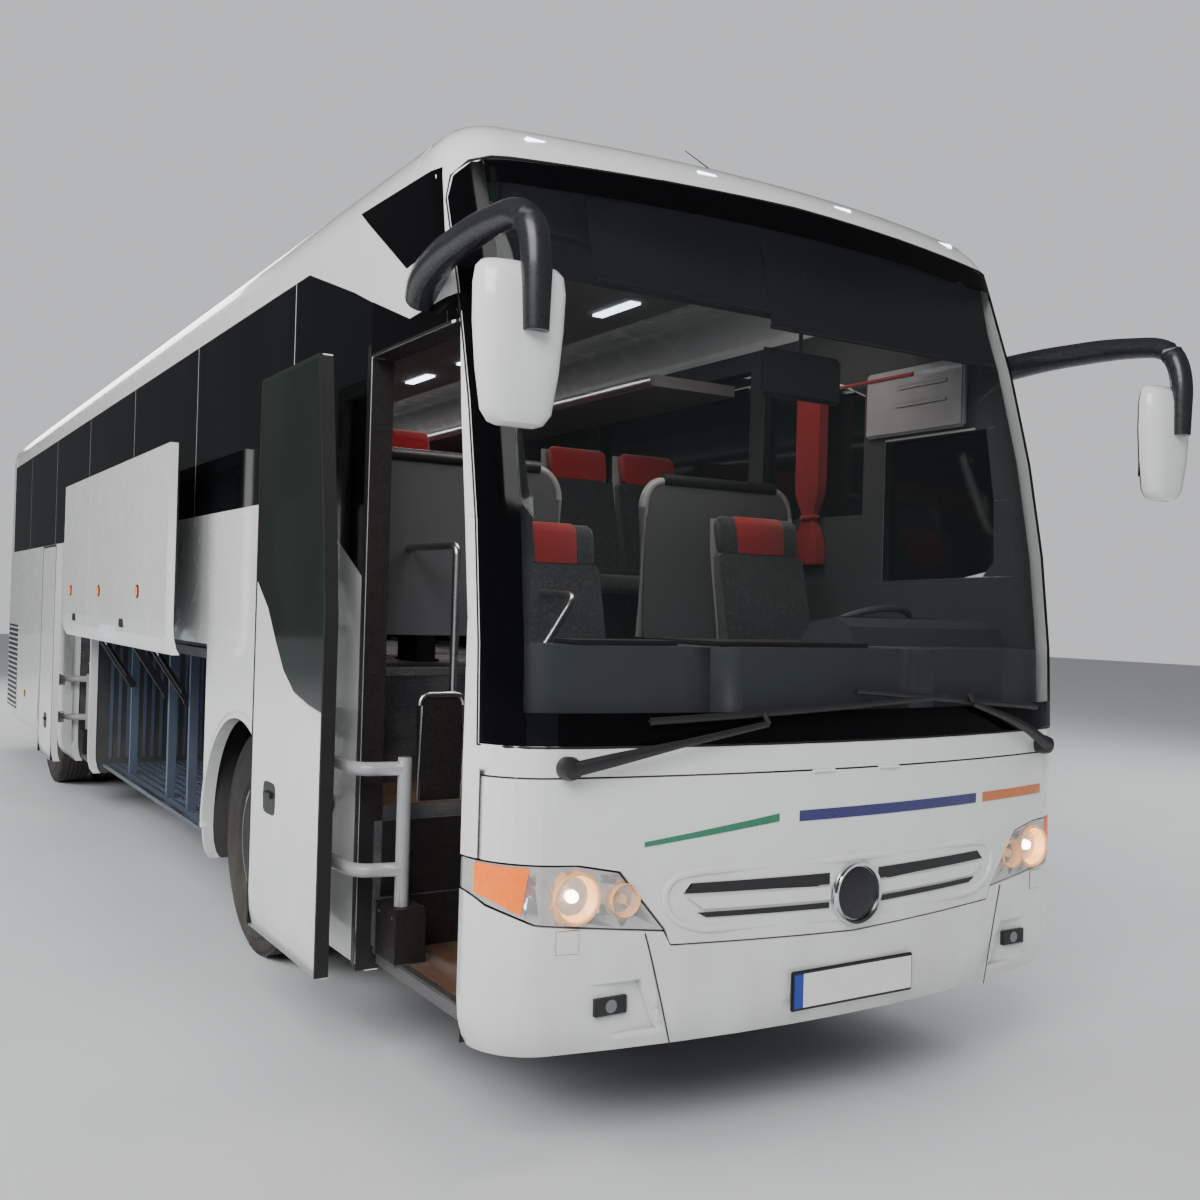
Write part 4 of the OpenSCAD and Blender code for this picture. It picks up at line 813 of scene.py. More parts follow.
def bumper_details():
    """Fog lamps, tow covers, seams and the blank plate"""
    bowls, glass, rims, covers, holder, plate, band = fresh(7)
    joint = 0.0012
    for s in SIDES:
        middle = spot(s * 0.893, 0.102, 0.484)
        slab(rims, middle + Vector((-0.07, -0.02, -0.04)), middle + Vector((0.07, 0.03, 0.04)), 0.014)
        slab(glass, middle + Vector((-0.058, -0.024, -0.03)), middle + Vector((0.058, -0.018, 0.03)), 0.005)
        turned(bowls, [(0.0, 0.0), (0.017, 0.0), (0.02, -0.002), (0.01, -0.0035), (0.0, -0.0035)],
               middle + Vector((0, -0.0202, 0)), ALONG, 24)
        x, z, half = s * 1.036, 0.684, 0.034
        nose_patch(covers, oblong(x - half, x + half, z - half, z + half), joint, 0.001, 6, 3)
        wide = half + joint
        nose_patch(rims, oblong(x - wide, x + wide, z - wide, z + wide), 0.0005, 0.001, 6, 3)
        seam = [(0.790, 0.694), (0.762, 0.60), (0.728, 0.47), (0.697, 0.345)]
        for (a, low), (b, high) in zip(seam, seam[1:]):
            corners = [(a - 0.0022, low), (a + 0.0022, low), (b + 0.0022, high), (b - 0.0022, high)]
            nose_patch(rims, sided(s, corners), 0.0005, 0.001, 1, 4)
    half_w, z = 0.26, 0.463
    y = nose(half_w, z) - 0.012
    slab(holder, (-0.268, y - 0.008, z - 0.064), (0.268, y + 0.004, z + 0.064), 0.004)
    for x in (-0.23, 0.23):
        slab(holder, (x - 0.03, y, 0.44), (x + 0.03, nose(x, 0.46) - 0.0005, 0.486))
    slab(plate, (-0.222, y - 0.0105, z - 0.054), (half_w, y - 0.0075, z + 0.054), 0.001)
    slab(band, (-half_w, y - 0.0105, z - 0.054), (-0.2225, y - 0.0075, z + 0.054), 0.001)
    piece("fog_lamp_cases", rims, TRIM)
    piece("fog_lamp_bowls", bowls, RIM)
    piece("fog_lamp_lenses", glass, SCREEN)
    piece("tow_eye_covers", covers, PAINT)
    piece("plate_holder", holder, TRIM)
    piece("blank_plate", plate, PLATE)
    piece("plate_band", band, PLATE_BLUE)


def plain_stripes():
    """Plain stripes where the operator's words stood"""
    for name, material, corners in (
            ("stripe_green", STRIPE_GREEN, [(-0.80, 0.955), (-0.32, 1.01), (-0.32, 1.035), (-0.80, 0.97)]),
            ("stripe_navy", STRIPE_NAVY, [(-0.24, 1.005), (0.62, 1.01), (0.62, 1.045), (-0.24, 1.04)]),
            ("stripe_orange", STRIPE_ORANGE, [(0.66, 1.01), (1.06, 1.012), (1.06, 1.047), (0.66, 1.045)])):
        bm = bmesh.new()
        nose_patch(bm, corners, 0.0008, 0.0005, 14, 1)
        piece(name, bm, material, "nose_flap")


def wipers():
    """Two long arms with their blades, parked low on the screen"""
    bm = bmesh.new()
    parts = 14
    for pivot, elbow, end, blade in (
            ((-1.055, 1.2), (-0.82, 1.25), (-0.40, 1.325), ((-0.80, 1.335), (0.42, 1.40))),
            ((1.04, 1.2), (0.84, 1.29), (0.55, 1.372), ((1.0, 1.345), (-0.02, 1.425)))):
        hub = [(0.0, 0.0), (0.034, 0.0), (0.036, -0.03), (0.03, -0.05), (0.012, -0.058), (0.0, -0.058)]
        turned(bm, hub, on_nose(*pivot), ALONG)
        spots = [on_nose(*pivot, -0.045), on_nose(*elbow, -0.05), on_nose(*end, -0.04)]
        path = rounded(spots, 0.12, 4)
        taper = [1.1 - 0.62 * k / (len(path) - 1) for k in range(len(path))]
        rod(bm, path, 0.021, 12, 0.55, ALONG, taper)
        a, b = (Vector((x, 0, z)) for x, z in blade)
        for inset, radius, sides, flat in ((-0.016, 0.0075, 8, 1.6), (-0.005, 0.005, 6, 0.7)):
            line = [on_nose(*(a + (b - a) * k / parts).xz, inset) for k in range(parts + 1)]
            rod(bm, line, radius, sides, flat)
        rod(bm, [spots[2], on_nose(end[0], end[1] + 0.03, -0.02)], 0.009, 8)
    made = piece("wiper_arms", bm, TRIM)
    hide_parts("wipers")


def mirror_heads():
    """White front shells, black backs and the glass that looks rearward"""
    levels = ((2.152, 0.056, 0.026, 0.0), (2.16, 0.082, 0.046, 0.0), (2.19, 0.104, 0.062, 0.0),
              (2.30, 0.122, 0.071, 0.0), (2.42, 0.133, 0.075, 0.0), (2.52, 0.136, 0.073, -0.003),
              (2.565, 0.13, 0.062, -0.005), (2.584, 0.114, 0.044, -0.005), (2.59, 0.086, 0.03, -0.005))
    parts, middle = 16, -0.085
    for x0, name in ((-1.362, "right"), (1.465, "left")):
        shell, back, glass = fresh(3)
        for bm, start, grow, flat in ((shell, 0, 0.0, 1.0), (back, 180, -0.004, 0.45)):
            rings = []
            for z, half, deep, shift in levels:
                ring = []
                for k in range(parts + 1):
                    a = math.radians(start + 180 * k / parts)
                    c, d = math.cos(a), math.sin(a)
                    x = math.copysign(abs(c) ** 0.72, c) * (half + grow)
                    y = -math.copysign(abs(d) ** 0.8, d) * (deep * flat + grow)
                    ring.append((x0 + x, at(middle) + shift + y, z))
                rings.append(ring)
            ring_skin(bm, rings)
        block(glass, (x0 - 0.10, x0 + 0.10), (-0.066, -0.064), (2.24, 2.54))
        made = piece(f"mirror_shell_{name}", shell, PAINT)
        if name == "right":
            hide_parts("mirror_heads")
        piece(f"mirror_back_{name}", back, TRIM)
        piece(f"mirror_glass_{name}", glass, MIRROR_GLASS)


def mirror_arms():
    """Thick arched arms from the body's corners down over the heads"""
    bm = bmesh.new()
    right = [(-1.29, 0.72, 2.675), (-1.328, 0.62, 2.71), (-1.35, 0.43, 2.742), (-1.362, 0.13, 2.752),
             (-1.362, -0.105, 2.738), (-1.35, -0.164, 2.645), (-1.346, -0.164, 2.40)]
    left = [(1.29, 0.72, 2.715), (1.34, 0.58, 2.745), (1.395, 0.39, 2.768), (1.455, 0.13, 2.775),
            (1.475, -0.105, 2.75), (1.48, -0.164, 2.645), (1.482, -0.164, 2.40)]
    for points in (right, left):
        path = rounded([spot(*p) for p in points], 0.09, 6)
        count = len(path) - 1
        sizes = [1.4 - 0.4 * min(k / count * 1.5, 1.0) for k in range(count + 1)]
        sizes[-1] *= 0.85
        rod(bm, path, 0.043, 24, 0.9, (0.05, 0.7, 0.7), sizes)
    made = piece("mirror_arm_shells", bm, SHELL_BLACK)
    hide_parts("mirror_arms")


# Panels and glass
def panels():
    """Smooth painted panels, tinted glass and the plain materials of the frame's other nodes"""
    for material, names in (
            (PAINT, "front_mask front_bumper nose_lid side_right side_left roof roof_unit rear_wall"),
            (PAINT, "engine_lid front_door mid_door"),
            (PAINT, "flap_right_front flap_right_rear flap_left_front flap_left_rear"),
            (SCREEN, "windscreen"), (BAND, "side_glass rear_glass"), (DOOR_GLASS, "front_door_glass"),
            (CLEAR_LENS, "headlamp_covers"), (LAMP_CASE, "headlamps"), (RED_LENS, "rear_lamps"),
            (DASH, "dashboard"), (LAMINATE, "partitions"), (RAIL, "handrails"),
            (GREY_ARM, "front_door_arms mid_door_arm"),
            (CHASSIS, "front_axle rear_axle knuckle_left knuckle_right"),
            (RIM, "rim_front_left rim_front_right rim_rear_left rim_rear_right")):
        for name in names.split():
            dressed(name, material)
    for material, names in (
            (CHASSIS, "underframe"), (AISLE_FLOOR, "deck"), (BAY_BLUE, "bay_lining"), (LINER, "racks"),
            (IRON, "engine"),
            (TRIM, "levers_right_front levers_right_rear levers_left_front levers_left_rear")):
        for name in names.split():
            painted(name, material)


def marker(lenses, cases, centre, s, sunk, wide):
    """Side marker lamp: a domed lens in a round case"""
    low = -sunk - 0.002
    for bm, profile in (
            (lenses, [(0.0, -sunk), (0.03, -sunk), (0.03, 0.006), (0.02, 0.011), (0.0, 0.013)]),
            (cases, [(0.0, low), (wide, low), (wide, 0.004), (0.031, 0.007), (0.0, 0.007)])):
        turned(bm, profile, centre, (s, 0, 0))


def side_trim():
    """Quarter windows, seals between the panes, marker lamps and the rear louvres"""
    glass, seals, amber, cases, frames = fresh(5)
    for corners in ([(0.49, 2.566), (0.88, 2.566), (0.86, 2.632), (0.47, 2.652)],
                    [(0.881, 2.566), (1.205, 2.566), (1.205, 2.756), (0.861, 2.632)]):
        flank_patch(glass, corners, -1, 0.0012, 0.0005, 8, 2)
    for s in SIDES:
        corners = [(0.60, 2.835), (0.90, 2.81), (1.36, 3.115), (0.66, 3.09)]
        flank_patch(glass, corners, s, 0.0015, 0.0005, 12, 6)
        x = s * (HALF_W - 0.006)
        for d in PANE_SEAMS:
            block(seals, (x - 0.001, x + 0.001), (d - 0.0028, d + 0.0028), (2.1, 3.01))
        for d, z in ((1.5, 0.90), (7.2, 0.669), (10.42, 0.669)):
            if s > 0 or d != 7.2:
                marker(amber, cases, spot(s * HALF_W, d, z), s, 0.004, 0.036)
        block(frames, (s * 1.2745, s * 1.2765), (11.08, 11.83), (0.46, 1.33), 0.0008)
    piece("quarter_windows", glass, FRIT)
    piece("pane_seals", seals, RUBBER)
    piece("side_marker_lenses", amber, AMBER_LENS)
    piece("side_marker_cases", cases, TRIM)
    piece("louvre_backs", frames, TRIM)
    places = [spot(s * 1.2785, 11.455, 0.492) for s in SIDES]
    slats = bars(PAINT, places, 17, (0, 0, 0.0505), (0.006, 0.72, 0.019))
    piece("side_louvres", slats, PAINT)


def flap_trim():
    """Dark inner frames, liners, seals, locks and marker lamps of the luggage flaps, where each stands"""
    out = LEVER * (math.cos(RAISED) - math.cos(FOLDED))
    rise = LEVER * (math.sin(RAISED) + math.sin(FOLDED))
    for side, s, dx, dz, glow in (("right", -1, -out, rise, AMBER_GLOW), ("left", 1, 0.0, 0.0, AMBER_LENS)):
        for end, d0, d1, lamps_at in (("front", 3.4, 5.68, (4.10, 5.28)), ("rear", 5.68, 6.74, (6.37,))):
            inner_frame, liner, lenses, cases, seal, lock = fresh(6)
            x = s * HALF_W + dx
            inner = HALF_W - 0.0405
            near, far = d0 + 0.03, d1 - 0.03
            for a, b, low, high in ((near, far, 0.50, 0.56), (near, far, 1.285, 1.342),
                                    (near, d0 + 0.09, 0.562, 1.283), (d1 - 0.09, far, 0.562, 1.283),
                                    (d0 + 0.092, d1 - 0.092, 0.93, 0.97)):
                xs = (s * inner + dx, s * (inner - 0.016) + dx)
                block(inner_frame, xs, (a, b), (low + dz, high + dz), 0.003)
            xs = (s * inner + dx, s * (inner - 0.004) + dx)
            block(liner, xs, (near, far), (0.50 + dz, 1.40 + dz), 0.001)
            rim = [(d1 - 0.012, 0.37), (d1 - 0.012, 1.413), (d0 + 0.012, 1.413), (d0 + 0.012, 0.44)]
            rod(seal, [spot(s * (HALF_W - 0.0425) + dx, d, z + dz) for d, z in rim], 0.006, 8)
            for d in lamps_at:
                marker(lenses, cases, spot(x, d, 0.665 + dz), s, 0.003, 0.038)
            middle = (d0 + d1) / 2
            ends = (middle - 0.055, middle + 0.055)
            block(lock, (x - 0.004, x + 0.004), ends, (0.455 + dz, 0.505 + dz), 0.003)
            for part, bm, material in (("frame", inner_frame, TRIM), ("liner", liner, GREY_LINER),
                                       ("lenses", lenses, glow), ("lamp_cases", cases, TRIM),
                                       ("seal", seal, RUBBER), ("lock", lock, TRIM)):
                piece(f"flap_{part}_{side}_{end}", bm, material, f"luggage_{side}_{end}")


def struts():
    """Gas springs beside the levers"""
    for side, s, angle in (("right", -1, RAISED), ("left", 1, -FOLDED)):
        along = Vector((s * math.cos(angle), 0, math.sin(angle)))
        for end, d in (("front", 4.4693), ("rear", 6.0907)):
            tube, bar = fresh(2)
            start = Vector((s * (HALF_W - 0.168), at(d) - 0.021, 1.05))
            rod(tube, [start + along * 0.07, start + along * 0.33], 0.011)
            rod(bar, [start + along * 0.33, start + along * 0.49], 0.005, 10)
            for t in (0.07, 0.49):
                eye = [(0.0, -0.013), (0.009, -0.013), (0.009, 0.014), (0.0, 0.014)]
                turned(bar, eye, start + along * t, ALONG, 14)
            piece(f"gas_spring_{side}_{end}", tube, TRIM, f"lever_{side}_{end}")
            piece(f"gas_spring_rod_{side}_{end}", bar, CHROME, f"lever_{side}_{end}")


def bays():
    """Ribbed panels, floor strips, sills and lamps of the luggage bays"""
    for name, material, places, count, step, bar in (
            ("bay_wall_ribs", BAY_BLUE, [(s * 0.028, 3.46, 0.86) for s in SIDES], 55, (0, 0.06, 0),
             (0.006, 0.022, 0.84)),
            ("bay_end_ribs", BAY_BLUE, [(-1.12, d, 0.88) for d in (3.397, 6.743)], 38, (0.06, 0, 0),
             (0.022, 0.006, 0.86)),
            ("bay_floor_strips", ALUMINIUM, [(x, 5.07, 0.4115) for x in (-1.14, 0.06)], 19, (0.06, 0, 0),
             (0.012, 3.28, 0.003))):
        piece(name, bars(material, [spot(*p) for p in places], count, step, bar), material)
    sills, lit = fresh(2)
    for s in SIDES:
        block(sills, (s * 1.137, s * 1.1745), (3.41, 6.73), (0.4105, 0.4145), 0.001)
        for d in (4.1, 5.5, 6.45):
            block(lit, (s * 0.5 - 0.06, s * 0.5 + 0.06), (d - 0.035, d + 0.035), (1.335, 1.3485), 0.004)
    piece("bay_sills", sills, ALUMINIUM)
    piece("bay_lamps", lit, ROOF_LAMP)


# Doors and steps
def edge_band(bm, path, shift, x0, x1, outward, inward):
    """Band along a path (d, z) in the side's plane, from x0 to x1 across the wall"""
    spots = [Vector(p) for p in path]
    rings = []
    for k, p in enumerate(spots):
        along = (spots[min(k + 1, len(spots) - 1)] - spots[max(k - 1, 0)]).normalized()
        out = Vector((-along.y, along.x))
        a, b = p + out * outward, p - out * inward
        ring = ((x0, b), (x1, b), (x1, a), (x0, a))
        rings.append([(x + shift[0], at(q.x) + shift[1], q.y) for x, q in ring])
    ring_skin(bm, rings)


def doors():
    """Seals, handles, inner linings, sills and rails of both right-hand doors"""
    floor = 0.37
    for name, leaf, shift, handle in (
            ("front_door", [(0.358, floor), (0.358, 1.63), (0.396, 1.94), (0.490, 2.55), (1.190, 2.55),
                            (1.190, floor)], OPEN_LEAF, (0.939, 0.908)),
            ("mid_door", [(6.806, floor), (6.806, 2.05), (7.514, 2.05), (7.514, floor)], OPEN_MID,
             (7.14, 0.656))):
        seal, grip, lining, rail, sill = fresh(5)
        d0, d1 = leaf[0][0], leaf[-1][0]
        corners = rounded(leaf, 0.012, 2)
        edge_band(seal, corners, shift, -HALF_W + 0.0005, -HALF_W + 0.0465, 0.0022, 0.0005)
        edge_band(seal, corners, shift, -HALF_W - 0.0009, -HALF_W + 0.001, 0.0022, 0.014)
        x, back = shift
        outer = -HALF_W + x
        inner = outer + 0.0465
        d, z = handle
        cup = [(d + math.copysign(0.076 * abs(math.cos(a)) ** 0.4, math.cos(a)),
                z + math.copysign(0.062 * abs(math.sin(a)) ** 0.4, math.sin(a))) for a in angles(32, 0.5)]
        prism(grip, cup, lambda u, v, w: (w, at(u) + back, v), outer - 0.0015, outer + 0.004, 0.001)
        ends = (d - 0.045, d + 0.045)
        block(grip, (outer - 0.013, outer - 0.005), ends, (z + 0.002, z + 0.024), 0.003, back)
        for e in (-0.04, 0.04):
            ends = (d + e - 0.006, d + e + 0.006)
            block(grip, (outer - 0.008, outer + 0.001), ends, (z + 0.004, z + 0.022), back=back)
        for low, high in ((0.40, 0.64), (1.12, 1.24)):
            block(lining, (inner, inner + 0.006), (d0 + 0.04, d1 - 0.04), (low, high), 0.002, back)
        block(sill, (outer + 0.004, inner - 0.002), (d0 + 0.01, d1 - 0.01), (0.3655, 0.372), 0.001, back)
        bend = [(inner + 0.001, 0.85), (inner + 0.05, 0.87), (inner + 0.05, 1.55), (inner + 0.001, 1.57)]
        rod(rail, rounded([(u, at(d1 - 0.05) + back, v) for u, v in bend], 0.04), 0.013)
        for part, bm, material in (("seal", seal, RUBBER), ("handle", grip, TRIM),
                                   ("lining", lining, LAMINATE), ("sill", sill, ALUMINIUM),
                                   ("rail", rail, RAIL)):
            piece(f"{name}_{part}", bm, material, name + "_leaf")


def door_boxes():
    """Lids of the door drives with their screws, and the cables behind the posts"""
    lids, screws, cables = fresh(3)
    face = -1.2155
    for post in (1.04, 7.4):
        block(lids, (face, -1.0985), (post - 0.0615, post + 0.12), (0.411, 0.603), 0.002)
        for d in (post - 0.03, post + 0.09):
            screw = [(0.0, 0.0), (0.006, 0.0), (0.006, 0.002), (0.0, 0.003)]
            turned(screws, screw, spot(face, d, 0.57), (-1, 0, 0), 12)
        path = [(-1.13, post + 0.05, 0.6), (-1.10, post + 0.07, 0.78), (-1.14, post + 0.03, 0.95),
                (-1.165, post + 0.022, 1.05)]
        rod(cables, rounded([spot(*p) for p in path], 0.1, 6), 0.0055, 8)
        cap = [(0.0, 1.115), (0.014, 1.115), (0.018, 1.122), (0.018, 1.13), (0.0, 1.134)]
        turned(screws, cap, spot(-1.17, post, 0.0), UPWARD, 20)
    piece("drive_lids", lids, STAIR_WALL)
    piece("drive_screws", screws, NUT)
    piece("drive_cables", cables, TRIM)


def door_frame():
    """Dark lining of the front doorway's faces, of the stair's rear wall and of both stairs' risers, and a
    black strip round the doorway that is partly painted shade
    """
    bm, surround = fresh(2)
    pillar = [(0.35, 0.35), (0.35, 1.63), (0.388, 1.94), (0.482, 2.554)]
    edge_band(bm, pillar, (0, 0), -HALF_W + 0.014, -1.18, 0.0002, 0.0022)
    for xs, ds, zs in (((-HALF_W + 0.003, -1.18), (0.486, 1.199), (2.5535, 2.5558)),
                       ((-HALF_W + 0.0005, -1.19), (1.1947, 1.1955), (0.345, 2.552)),
                       ((-1.097, -0.7325), (1.1845, 1.1857), (0.406, 0.6)),
                       ((-1.19, -0.567), (1.1845, 1.1857), (0.6055, 0.765)),
                       ((-1.19, -0.402), (1.1845, 1.1857), (0.7655, 0.879))):
        block(bm, xs, ds, zs)
    for ends, risers in zip(STAIRS, (
            ((-0.73, 0.41, 0.568), (-0.565, 0.605, 0.733), (-0.40, 0.77, 0.898)),
            ((-0.73, 0.41, 0.609), (-0.654, 0.646, 0.845), (-0.578, 0.882, 1.081)))):
        for x, low, high in risers:
            block(bm, (x - 0.0015, x), ends, (low, high))
    # Black strip on the wall round the doorway's rear and top edges: partly the doorway's black frame edge,
    # partly painted shade of the white wall behind the open leaf
    over_door = [(0.487, 2.5565), (1.1995, 2.5565), (1.1995, 2.60), (0.502, 2.60)]
    for corners, across, up in ((oblong(1.2005, 1.238, 0.36, 2.60), 1, 6), (over_door, 12, 1)):
        flank_patch(surround, corners, -1, 0.0009, 0.0005, across, up)
    piece("door_frame_lining", bm, STAIR_WALL)
    piece("door_surround_and_painted_shade", surround, TRIM)


def steps():
    """Floor covering and aluminium edges of both stairs, the entry's guard panel and its rails"""
    cover, edges, rim, guard_frame, guard, rails = fresh(6)
    low = (-1.19, -0.735, 0.405)
    for ends, treads in zip(STAIRS, (
            (low, (-0.73, -0.566, 0.6), (-0.565, -0.401, 0.765), (-0.40, 0.2, 0.93)),
            (low, (-0.73, -0.655, 0.641), (-0.654, -0.579, 0.877), (-0.578, -0.502, 1.113)))):
        for x0, x1, z in treads:
            block(cover, (x0 + 0.028, x1), ends, (z + 0.0002, z + 0.0035), 0.0008)
            block(edges, (x0 - 0.002, x0 + 0.001), ends, (z - 0.03, z + 0.004), 0.0006)
            block(edges, (x0 - 0.002, x0 + 0.028), ends, (z + 0.0005, z + 0.0045), 0.0008)
    block(cover, (-1.18, 0.2), (1.212, 1.725), (0.9302, 0.9335), 0.0008)
    block(rim, (-1.2, 1.2), (1.726, 1.7295), (1.372, 1.4035), 0.0006)
    block(rim, (-1.2, 1.2), (1.727, 1.757), (1.4002, 1.4035), 0.0006)
    path = [spot(x, 1.245, z) for x, z in ((-1.03, 0.64), (-1.03, 1.33), (-0.85, 1.33), (-0.85, 0.64))]
    rod(guard_frame, rounded(path, 0.04, 4), 0.012, 12)
    block(guard, (-1.02, -0.86), (1.242, 1.248), (0.935, 1.32), 0.001)
    path = ((-0.66, 1.16, 0.62), (-0.66, 1.16, 1.36), (-0.42, 1.16, 1.72), (-0.42, 1.7, 1.74))
    rod(rails, rounded([spot(*p) for p in path], 0.06), 0.016)
    piece("stair_floor", cover, ENTRY_FLOOR)
    piece("stair_edges", edges, ALUMINIUM)
    piece("floor_edge", rim, ALUMINIUM)
    piece("entry_guard_frame", guard_frame, RAIL)
    piece("entry_guard_panel", guard, STAIR_WALL)
    piece("entry_rails", rails, RAIL)


# Wheels
def tyre_profile():
    """Profile of a tyre with ribs, grooves, shoulders and raised rings on its walls"""
    half, r, bead = 0.1475, 0.522, 0.286
    wall = [(bead, 0.03), (bead + 0.008, 0.018), (bead + 0.022, 0.012), (bead + 0.028, 0.014),
            (bead + 0.05, 0.006), (0.38, 0.001), (0.40, 0.0), (0.402, 0.0), (0.43, 0.002), (0.432, 0.0),
            (0.437, 0.0), (0.439, 0.003), (r - 0.06, 0.008), (r - 0.03, 0.016), (r - 0.017, 0.026),
            (r - 0.006, 0.045), (r - 0.001, 0.06)]
    wall = [(radius, half - inset) for radius, inset in wall]
    tread = []
    for low, high in ((0.087, 0.056), (0.048, 0.02), (0.012, -0.012), (-0.02, -0.048), (-0.056, -0.087)):
        tread += [(r - 0.011, low + 0.004), (r, low), (r, high), (r - 0.011, high - 0.004)]
    other = [(a, -b) for a, b in reversed(wall)]
    return wall + tread[1:-1] + other


def wheels():
    """Tyres with treads, wheel nuts, hubs and valves"""
    for side, s in (("left", 1), ("right", -1)):
        for end, d, offsets, track, dish, nut_ring, reach, wide in (
                ("front", FRONT_AXLE, (0.0,), 1.048, 0.066, 0.1435, 0.134, 0.06),
                ("rear", REAR_AXLE, (-0.165, 0.165), 0.92, 0.014, 0.145, 0.2, 0.07)):
            body = f"wheel_{end}_{side}"
            centres = [spot(s * (track + offset), d, AXLE_Z) for offset in offsets]
            tyre, hub = fresh(2)
            for centre in centres:
                turned(tyre, tyre_profile(), centre, (s, 0, 0), 88)
            made = piece(f"tyre_body_{end}_{side}", tyre, TYRE, body, 50)
            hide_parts(f"tyre_{end}_{side}")
            places = [centre + Vector((e * 0.102, 0, 0)) for centre in centres for e in SIDES]
            tread = studs(BLOCK_RING, TYRE, places, QUARTER, 60, 0.5085, (0.025, 0.042, 0.028))
            piece(f"tyre_blocks_{end}_{side}", tread, TYRE, body, 30)
            face = s * (track + dish)
            nuts = studs(NUT_RING, NUT, [spot(face + s * 0.012, d, AXLE_Z)], s * QUARTER, 10, nut_ring,
                         (0.0165, 0.0165, 0.026))
            piece(f"wheel_nuts_{end}_{side}", nuts, NUT, body, 30)
            cap = [(0.0, reach + 0.0005), (wide * 0.6, reach + 0.0005), (wide * 0.62, reach + 0.008),
                   (wide * 0.4, reach + 0.011), (0.0, reach + 0.012)]
            turned(hub, cap, spot(s * track, d, AXLE_Z), (s, 0, 0), 32)
            valve = [spot(face + s * 0.006, d, AXLE_Z + 0.222), spot(face + s * 0.04, d, AXLE_Z + 0.226)]
            rod(hub, valve, 0.005, 8)
            piece(f"hub_cap_{end}_{side}", hub, TRIM, body)
            places = [spot(s * (track + reach - 0.004), d, AXLE_Z)]
            bolts = studs(NUT_RING, NUT, places, s * QUARTER, 8, wide * 0.8, (0.006, 0.006, 0.016))
            piece(f"hub_bolts_{end}_{side}", bolts, NUT, body, 30)


# Inside
CUSHION = [(-38, 36), (-42, 60), (-34, 96), (-10, 112), (40, 116), (200, 106), (352, 102), (388, 120),
           (392, 60), (384, 24), (-20, 16)]
BACKREST = [(378, 120), (400, 118), (404, 180), (424, 320), (452, 450), (480, 560), (497, 640), (545, 640),
            (530, 520), (496, 320), (466, 100), (420, 90)]
HEADREST = [(496, 642), (500, 700), (512, 770), (526, 806), (548, 814), (574, 806), (580, 770), (566, 700),
            (550, 642)]
SEAT_REAR = [(470, 60), (500, 300), (535, 520), (556, 660), (584, 800), (588, 800), (582, 640), (560, 520),
             (520, 300), (490, 60)]


def seat_parts(cloth, cover, shell, x, d, z, w, in_cab):
    """Cushion, back, headrest and shell of one seat, whose outlines are in millimetres from d, z"""
    half = w / 2 - 0.004

    def across(points, bm, inset, edge):
        outline = [(d + u / 1000, z + v / 1000) for u, v in points]
        prism(bm, outline, lambda u, v, t: (x + t, at(u), v), -half + inset, half - inset, edge)
    across(CUSHION, cloth, 0.0, 0.022)
    across(BACKREST, cloth, 0.0, 0.02)
    across(HEADREST, cover, 0.1 if in_cab else 0.04, 0.018)
    if in_cab:
        core = [(u + 3 if u < 540 else u - 3, v - 4 if v > 700 else v) for u, v in HEADREST]
        across(core, cloth, 0.02, 0.018)
    across(SEAT_REAR, shell, 0.012, 0.004)


def seats():
    """Padded seats with red headrest covers, on their legs"""
    cloth, cover, shell, legs, arms = fresh(5)
    rows, first_row, pitch, height, width = 12, 2.25, 0.79, 0.33, 0.43
    spots = []
    for k in range(rows):
        for x in (-0.99, -0.53, 0.53, 0.99):
            d = first_row + pitch * k
            if not (x < 0 and d + 0.56 > STAIR_WELL[0] and d - 0.06 < STAIR_WELL[1]):
                spots.append((x, d, DECK + height, width))
    spots += [(0.74, 0.94, 1.3, 0.5), (-0.34, 0.96, 1.215, width)]
    for x, d, z, w in spots:
        in_cab = d < CAB_REAR
        seat_parts(cloth, cover, shell, x, d, z, w, in_cab)
        floor = CAB if in_cab else DECK
        for u in (0.09, 0.27):
            block(legs, (x - 0.05, x + 0.05), (d + u, d + u + 0.045), (floor + 0.001, z + 0.02), 0.004)
        block(legs, (x - 0.06, x + 0.06), (d + 0.065, d + 0.315), (floor + 0.001, floor + 0.012), 0.003)
        if not in_cab and abs(x) < 0.7:
            arm = x + math.copysign(0.205, -x)
            block(arms, (arm - 0.018, arm + 0.018), (d + 0.08, d + 0.42), (z + 0.25, z + 0.28), 0.008)
    made = piece("seat_cloth", cloth, SEAT_CLOTH, sharp=60)
    heads = piece("seat_headrests", cover, HEAD_RED, sharp=60)
    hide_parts("seats")
    piece("seat_shells", shell, GREY_ARM)
    piece("seat_legs", legs, TRIM)
    piece("seat_arms", arms, TRIM)


def dash_details():
    """Instrument hood, its lit lamps, the trays and the row of switches"""
    trims, glass, lit = fresh(3)
    block(trims, (0.46, 1.02), (0.60, 0.655), (1.652, 1.668), 0.006)
    block(glass, (0.50, 0.98), (0.675, 0.69), (1.57, 1.63), 0.002)
    for k in range(6):
        block(lit, (0.53 + 0.075 * k, 0.57 + 0.075 * k), (0.692, 0.6945), (1.585, 1.61), 0.001)
    for xs, ds in (((-1.0, -0.62), (0.16, 0.32)), ((-0.48, 0.18), (0.14, 0.5))):
        block(trims, xs, ds, (1.5605, 1.576), 0.006)
    for k in range(7):
        block(glass, (-0.5 + 0.1 * k, -0.44 + 0.1 * k), (0.562, 0.566), (1.44, 1.47), 0.001)
    piece("dash_trims", trims, TRIM)
    piece("dash_glass", glass, FRIT)
    piece("dash_lamps", lit, AMBER_GLOW)


